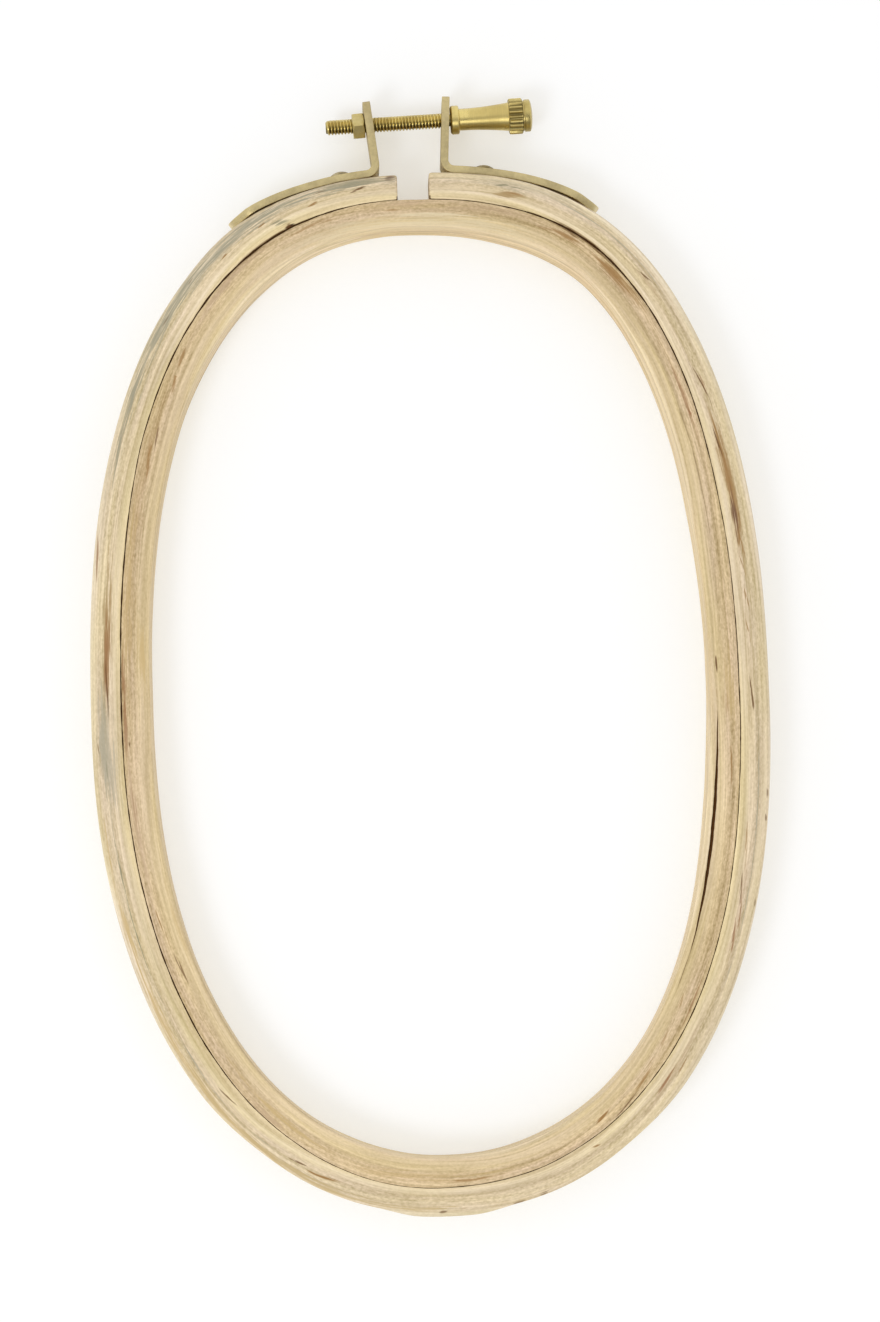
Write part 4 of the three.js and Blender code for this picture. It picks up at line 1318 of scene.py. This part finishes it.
def brass_wear():
    """Clouded tarnish, scratches and specks, for brass. The scratches' size differs along the three axes."""
    group, entry, leave = new_group("Brass wear", [
        ("Cloud Size", "NodeSocketFloat", 0.004),
        ("Scratch Size", "NodeSocketVector", (0.004, 0.0002, 0.0002)),
    ], [("Clouds", "NodeSocketFloat"), ("Scratches", "NodeSocketFloat"), ("Specks", "NodeSocketFloat")])
    if entry is None:
        return group
    place = add(group, "ShaderNodeTexCoord").outputs["Object"]
    share = maths(group, "DIVIDE", 1.0, entry.outputs["Cloud Size"])
    cloud_at = add(group, "ShaderNodeVectorMath", {0: place, "Scale": share}, operation="SCALE").outputs[0]
    clouds = fine_noise(group, cloud_at, detail=5.0, roughness=0.6)
    scratch_at = vector_maths(group, "DIVIDE", place, entry.outputs["Scratch Size"])
    scratches = fine_noise(group, scratch_at, detail=3.0, roughness=0.6)
    speck_at = add(group, "ShaderNodeVectorMath", {0: place, "Scale": 2600.0}, operation="SCALE").outputs[0]
    specks = fine_noise(group, speck_at, detail=2.0, roughness=0.5)
    group.links.new(clouds, leave.inputs["Clouds"])
    group.links.new(scratches, leave.inputs["Scratches"])
    group.links.new(specks, leave.inputs["Specks"])
    return group


def brass_material(name, bright, dull, cloud_size, scratch_size, rough_range, bumps):
    """Brass with clouded tarnish and fine marks. bumps says how strongly they stand out."""
    material, tree = new_material(name)
    wear = add(tree, "ShaderNodeGroup", node_tree=brass_wear())
    wear.inputs["Cloud Size"].default_value = cloud_size
    wear.inputs["Scratch Size"].default_value = scratch_size
    clouds = map_range(tree, wear.outputs["Clouds"], 0.35, 0.65, 0.0, 1.0, True)
    base = mix_colour(tree, clouds, bright, dull)
    fine = map_range(tree, wear.outputs["Scratches"], 0.3, 0.7, 0.92, 1.07)
    base = mix_colour(tree, 1.0, base, grey(tree, fine), "MULTIPLY")
    spots = map_range(tree, wear.outputs["Specks"], 0.62, 0.72, 0.0, 0.45, True)
    base = mix_colour(tree, spots, base, dull)
    rough = map_range(tree, clouds, 0.0, 1.0, *rough_range)
    specks = maths(tree, "MULTIPLY", wear.outputs["Specks"], 0.5)
    height = maths(tree, "ADD", wear.outputs["Scratches"], specks)
    bump = add(tree, "ShaderNodeBump", {"Height": height, "Strength": bumps, "Distance": 0.00004}).outputs[0]
    surface = add(tree, "ShaderNodeBsdfPrincipled", {
        "Base Color": base, "Roughness": rough, "Normal": bump, "Metallic": 1.0})
    add(tree, "ShaderNodeOutputMaterial", {0: surface.outputs[0]})
    return material


def base_colour(material):
    """A material's Base Color socket and the output that feeds it."""
    surface = next(node for node in material.node_tree.nodes if node.type == "BSDF_PRINCIPLED")
    socket = surface.inputs["Base Color"]
    return socket, socket.links[0].from_socket


def strip_brass(tips):
    """Satin brass, with a painted pale reflection on the tips of the strips."""
    tones = settings(BRASS)
    material = brass_material(
        "strip_brass", tones.strip, tones.strip_dull, cloud_size=0.005,
        scratch_size=(0.0006, 0.0006, 0.0002), rough_range=(0.42, 0.6), bumps=0.5)
    tree = material.node_tree
    socket, base = base_colour(material)
    place = add(tree, "ShaderNodeTexCoord").outputs["Object"]
    for tip in tips:
        away = vector_maths(tree, "DISTANCE", place, tip)
        # Painted reflection: within about two millimetres of each tip the brass turns pale
        base = mix_colour(tree, map_range(tree, away, 0.0019, 0.0005, 0.0, 0.8, True), base, tones.tip)
    tree.links.new(base, socket)
    return material


def rivet_brass():
    """The strips' tarnished brass, darker in its patches."""
    tones = settings(BRASS)
    dark = [0.55 * part for part in tones.strip_dull]
    return brass_material(
        "rivet_brass", tones.strip_dull, dark, cloud_size=0.002,
        scratch_size=(0.0004, 0.0004, 0.0004), rough_range=(0.34, 0.5), bumps=0.3)


def nut_brass():
    """Duller turned brass without rings from the lathe."""
    tones = settings(BRASS)
    return brass_material(
        "nut_brass", tones.nut, tones.turned_dull, cloud_size=0.006,
        scratch_size=(0.0005, 0.0005, 0.0005), rough_range=(0.32, 0.45), bumps=0.12)


def turned_brass(knurl_start, thread_root, thread_crest, knurl_valley, knurl_top):
    """Bright turned brass with rings from the lathe, and painted shade down in its thread and its knurl."""
    tones = settings(BRASS)
    material = brass_material(
        "turned_brass", tones.turned, tones.turned_dull, cloud_size=0.006,
        scratch_size=(0.00009, 0.004, 0.004), rough_range=(0.22, 0.36), bumps=0.1)
    tree = material.node_tree
    socket, base = base_colour(material)
    overlap = 0.00005
    cap_start = knurl_start + settings(CLAMP).knurl_length - overlap
    place = add(tree, "ShaderNodeTexCoord").outputs["Object"]
    parts = add(tree, "ShaderNodeSeparateXYZ", {0: place}).outputs
    across, up = (maths(tree, "MULTIPLY", part, part) for part in parts[1:3])
    radius = maths(tree, "SQRT", maths(tree, "ADD", across, up), 0.5)
    # Painted shade: the thread's roots are darker than its crests and darkest towards negative y, the knurl's
    # valleys are darker than its ridges, and the cap past the knurl stays light
    deepest = map_range(tree, parts[1], -0.0005, 0.0003, 0.25, 0.8)
    threaded = map_range(tree, radius, thread_root, thread_crest, deepest, 1.0)
    knurled = map_range(tree, radius, knurl_valley, knurl_top, 0.4, 0.95)
    beyond = map_range(tree, parts[0], knurl_start, knurl_start + 0.0001)
    capped = map_range(tree, parts[0], cap_start, cap_start + 0.0001, 0.0, 0.82)
    knurled = maths(tree, "MAXIMUM", knurled, capped)
    level = add(tree, "ShaderNodeMix", {0: beyond, 2: threaded, 3: knurled}, data_type="FLOAT").outputs[0]
    tree.links.new(mix_colour(tree, 1.0, base, grey(tree, level), "MULTIPLY"), socket)
    return material


# Stage

def floor_material():
    """Pale and matt. The camera sees its shadows paler and warmer than they light the hoop."""
    material, tree = new_material("pale_floor")
    glow = settings(STAGE).floor_glow
    surface = add(tree, "ShaderNodeBsdfDiffuse", {0: (*settings(STAGE).floor, 1)})
    shaded = add(tree, "ShaderNodeBsdfDiffuse", {0: (*(1 - part for part in glow), 1)})
    lit = add(tree, "ShaderNodeEmission", {0: (*glow, 1), 1: 1.0})
    shown = add(tree, "ShaderNodeAddShader", {0: shaded.outputs[0], 1: lit.outputs[0]})
    seen = add(tree, "ShaderNodeLightPath").outputs["Is Camera Ray"]
    mixed = add(tree, "ShaderNodeMixShader", {0: seen, 1: surface.outputs[0], 2: shown.outputs[0]})
    add(tree, "ShaderNodeOutputMaterial", {0: mixed.outputs[0]})
    return material


def lay_floor():
    """A flat square of small faces just under the hoop."""
    side = settings(STAGE).floor_size / 2
    steps, level = 12, -0.00003
    mesh = bpy.data.meshes.new("floor")
    across = [side * (2 * i / steps - 1) for i in range(steps + 1)]
    corners = [(x, y, level) for x in across for y in across]
    starts = [i * (steps + 1) + j for i in range(steps) for j in range(steps)]
    faces = [(corner, corner + steps + 1, corner + steps + 2, corner + 1) for corner in starts]
    mesh.from_pydata(corners, [], faces)
    floor = bpy.data.objects.new("floor", mesh)
    bpy.context.scene.collection.objects.link(floor)
    mesh.materials.append(floor_material())


def studio_world():
    """White to the camera, even light on the hoop, and a darker side and a bright spot in reflections."""
    darker_side, bright_spot = (0.0, -0.86, 0.5), (0.0, -0.63, 0.78)
    world = bpy.data.worlds.new("studio")
    bpy.context.scene.world = world
    world.use_nodes = True
    tree = world.node_tree
    tree.nodes.clear()
    paths = add(tree, "ShaderNodeLightPath").outputs
    way = add(tree, "ShaderNodeTexCoord").outputs["Generated"]
    facing = vector_maths(tree, "DOT_PRODUCT", way, darker_side)
    studio = map_range(tree, facing, 0.25, 0.8, 1.0, 0.3, True)
    glint = vector_maths(tree, "DOT_PRODUCT", way, bright_spot)
    studio = maths(tree, "ADD", studio, map_range(tree, glint, 0.96, 0.99, 0.0, 1.6, True))
    shown = maths(tree, "MAXIMUM", paths["Is Glossy Ray"], paths["Is Transmission Ray"])
    even = maths(tree, "MULTIPLY", maths(tree, "SUBTRACT", 1.0, shown), settings(STAGE).world_strength)
    strength = maths(tree, "ADD", even, maths(tree, "MULTIPLY", shown, studio))
    strength = maths(tree, "MAXIMUM", strength, paths["Is Camera Ray"])
    light = add(tree, "ShaderNodeBackground", {0: (1, 1, 1, 1), 1: strength})
    add(tree, "ShaderNodeOutputWorld", {0: light.outputs[0]})


def key_lamp():
    """One large soft lamp from the lower left, for the shadows."""
    lamp = bpy.data.lights.new("key", "AREA")
    lamp.shape = "DISK"
    lamp.size = 0.35
    lamp.energy = settings(STAGE).key_power
    key = bpy.data.objects.new("key", lamp)
    bpy.context.scene.collection.objects.link(key)
    key.location = (-0.45, -0.42, 0.8)
    key.rotation_euler = (Vector((0, 0, 0)) - key.location).to_track_quat("-Z", "Y").to_euler()


def overhead_camera():
    """The camera high above the hoop, looking nearly straight down."""
    aside, below_middle, height = -0.0132, 0.047, 0.701
    around, forwards, sideways = math.radians(-1.87), math.radians(4.62), math.radians(-1.11)
    camera = bpy.data.objects.new("camera", bpy.data.cameras.new("camera"))
    bpy.context.scene.collection.objects.link(camera)
    camera.data.sensor_width = 36
    camera.data.lens = settings(STAGE).camera_lens
    camera.data.clip_start = 0.01
    camera.data.clip_end = 50
    turn = (Matrix.Rotation(around, 4, "Z") @ Matrix.Rotation(forwards, 4, "X")
            @ Matrix.Rotation(sideways, 4, "Y"))
    middle = OUTER_BOX[0].y + settings(RINGS).far_reach
    camera.matrix_world = Matrix.Translation((aside, middle - below_middle, height)) @ turn
    bpy.context.scene.camera = camera
    bpy.context.scene.view_settings.view_transform = "Standard"


def stage():
    """The floor, the light and the camera."""
    lay_floor()
    studio_world()
    key_lamp()
    overhead_camera()


# Operators

class HOOP_OT_stage(bpy.types.Operator):
    """Make the floor, the light and the camera"""
    bl_idname = "hoop.stage"
    bl_label = "Stage"

    def execute(self, context):
        stage()
        return {"FINISHED"}


class HOOP_OT_outer_ring(bpy.types.Operator):
    """Make the split outer ring of bent wood"""
    bl_idname = "hoop.outer_ring"
    bl_label = "Outer ring"

    def execute(self, context):
        outer_ring()
        return {"FINISHED"}


class HOOP_OT_inner_ring(bpy.types.Operator):
    """Make the closed inner ring of bent wood"""
    bl_idname = "hoop.inner_ring"
    bl_label = "Inner ring"

    def execute(self, context):
        inner_ring()
        return {"FINISHED"}


class HOOP_OT_brackets(bpy.types.Operator):
    """Make the two bent brass strips"""
    bl_idname = "hoop.brackets"
    bl_label = "Brackets"

    def execute(self, context):
        brackets()
        return {"FINISHED"}


class HOOP_OT_rivets(bpy.types.Operator):
    """Make the two domed rivets"""
    bl_idname = "hoop.rivets"
    bl_label = "Rivets"

    def execute(self, context):
        rivets()
        return {"FINISHED"}


class HOOP_OT_thumb_screw(bpy.types.Operator):
    """Make the turned thumb screw with its thread and knurl"""
    bl_idname = "hoop.thumb_screw"
    bl_label = "Thumb screw"

    def execute(self, context):
        thumb_screw()
        return {"FINISHED"}


class HOOP_OT_hex_nut(bpy.types.Operator):
    """Make the small hexagonal nut"""
    bl_idname = "hoop.hex_nut"
    bl_label = "Nut"

    def execute(self, context):
        hex_nut()
        return {"FINISHED"}


OPERATORS = (HOOP_OT_stage, HOOP_OT_outer_ring, HOOP_OT_inner_ring, HOOP_OT_brackets, HOOP_OT_rivets,
             HOOP_OT_thumb_screw, HOOP_OT_hex_nut)
GROUPS = {RINGS: HoopRingSettings, CLAMP: HoopClampSettings, WOOD: HoopWoodSettings,
          BRASS: HoopBrassSettings, STAGE: HoopStageSettings}


class HOOP_PT_pieces(bpy.types.Panel):
    """Lists the pieces of the hoop"""
    bl_idname = "HOOP_PT_pieces"
    bl_label = "Embroidery hoop"
    bl_space_type = "VIEW_3D"
    bl_region_type = "UI"
    bl_category = "Hoop"

    def draw(self, context):
        for operator in OPERATORS:
            self.layout.operator(operator.bl_idname)
        for name in GROUPS:
            held = settings(name)
            box = self.layout.box()
            for key in held.bl_rna.properties.keys():
                if key not in ("rna_type", "name"):
                    box.prop(held, key)


CLASSES = (*GROUPS.values(), *OPERATORS, HOOP_PT_pieces)


def register():
    for kind in CLASSES:
        bpy.utils.register_class(kind)
    for name, kind in GROUPS.items():
        setattr(bpy.types.Scene, name, PointerProperty(type=kind))


def unregister():
    for name in GROUPS:
        delattr(bpy.types.Scene, name)
    for kind in reversed(CLASSES):
        bpy.utils.unregister_class(kind)


def main():
    register()
    for operator in OPERATORS:
        group, name = operator.bl_idname.split(".")
        getattr(getattr(bpy.ops, group), name)()


if __name__ == "__main__":
    main()
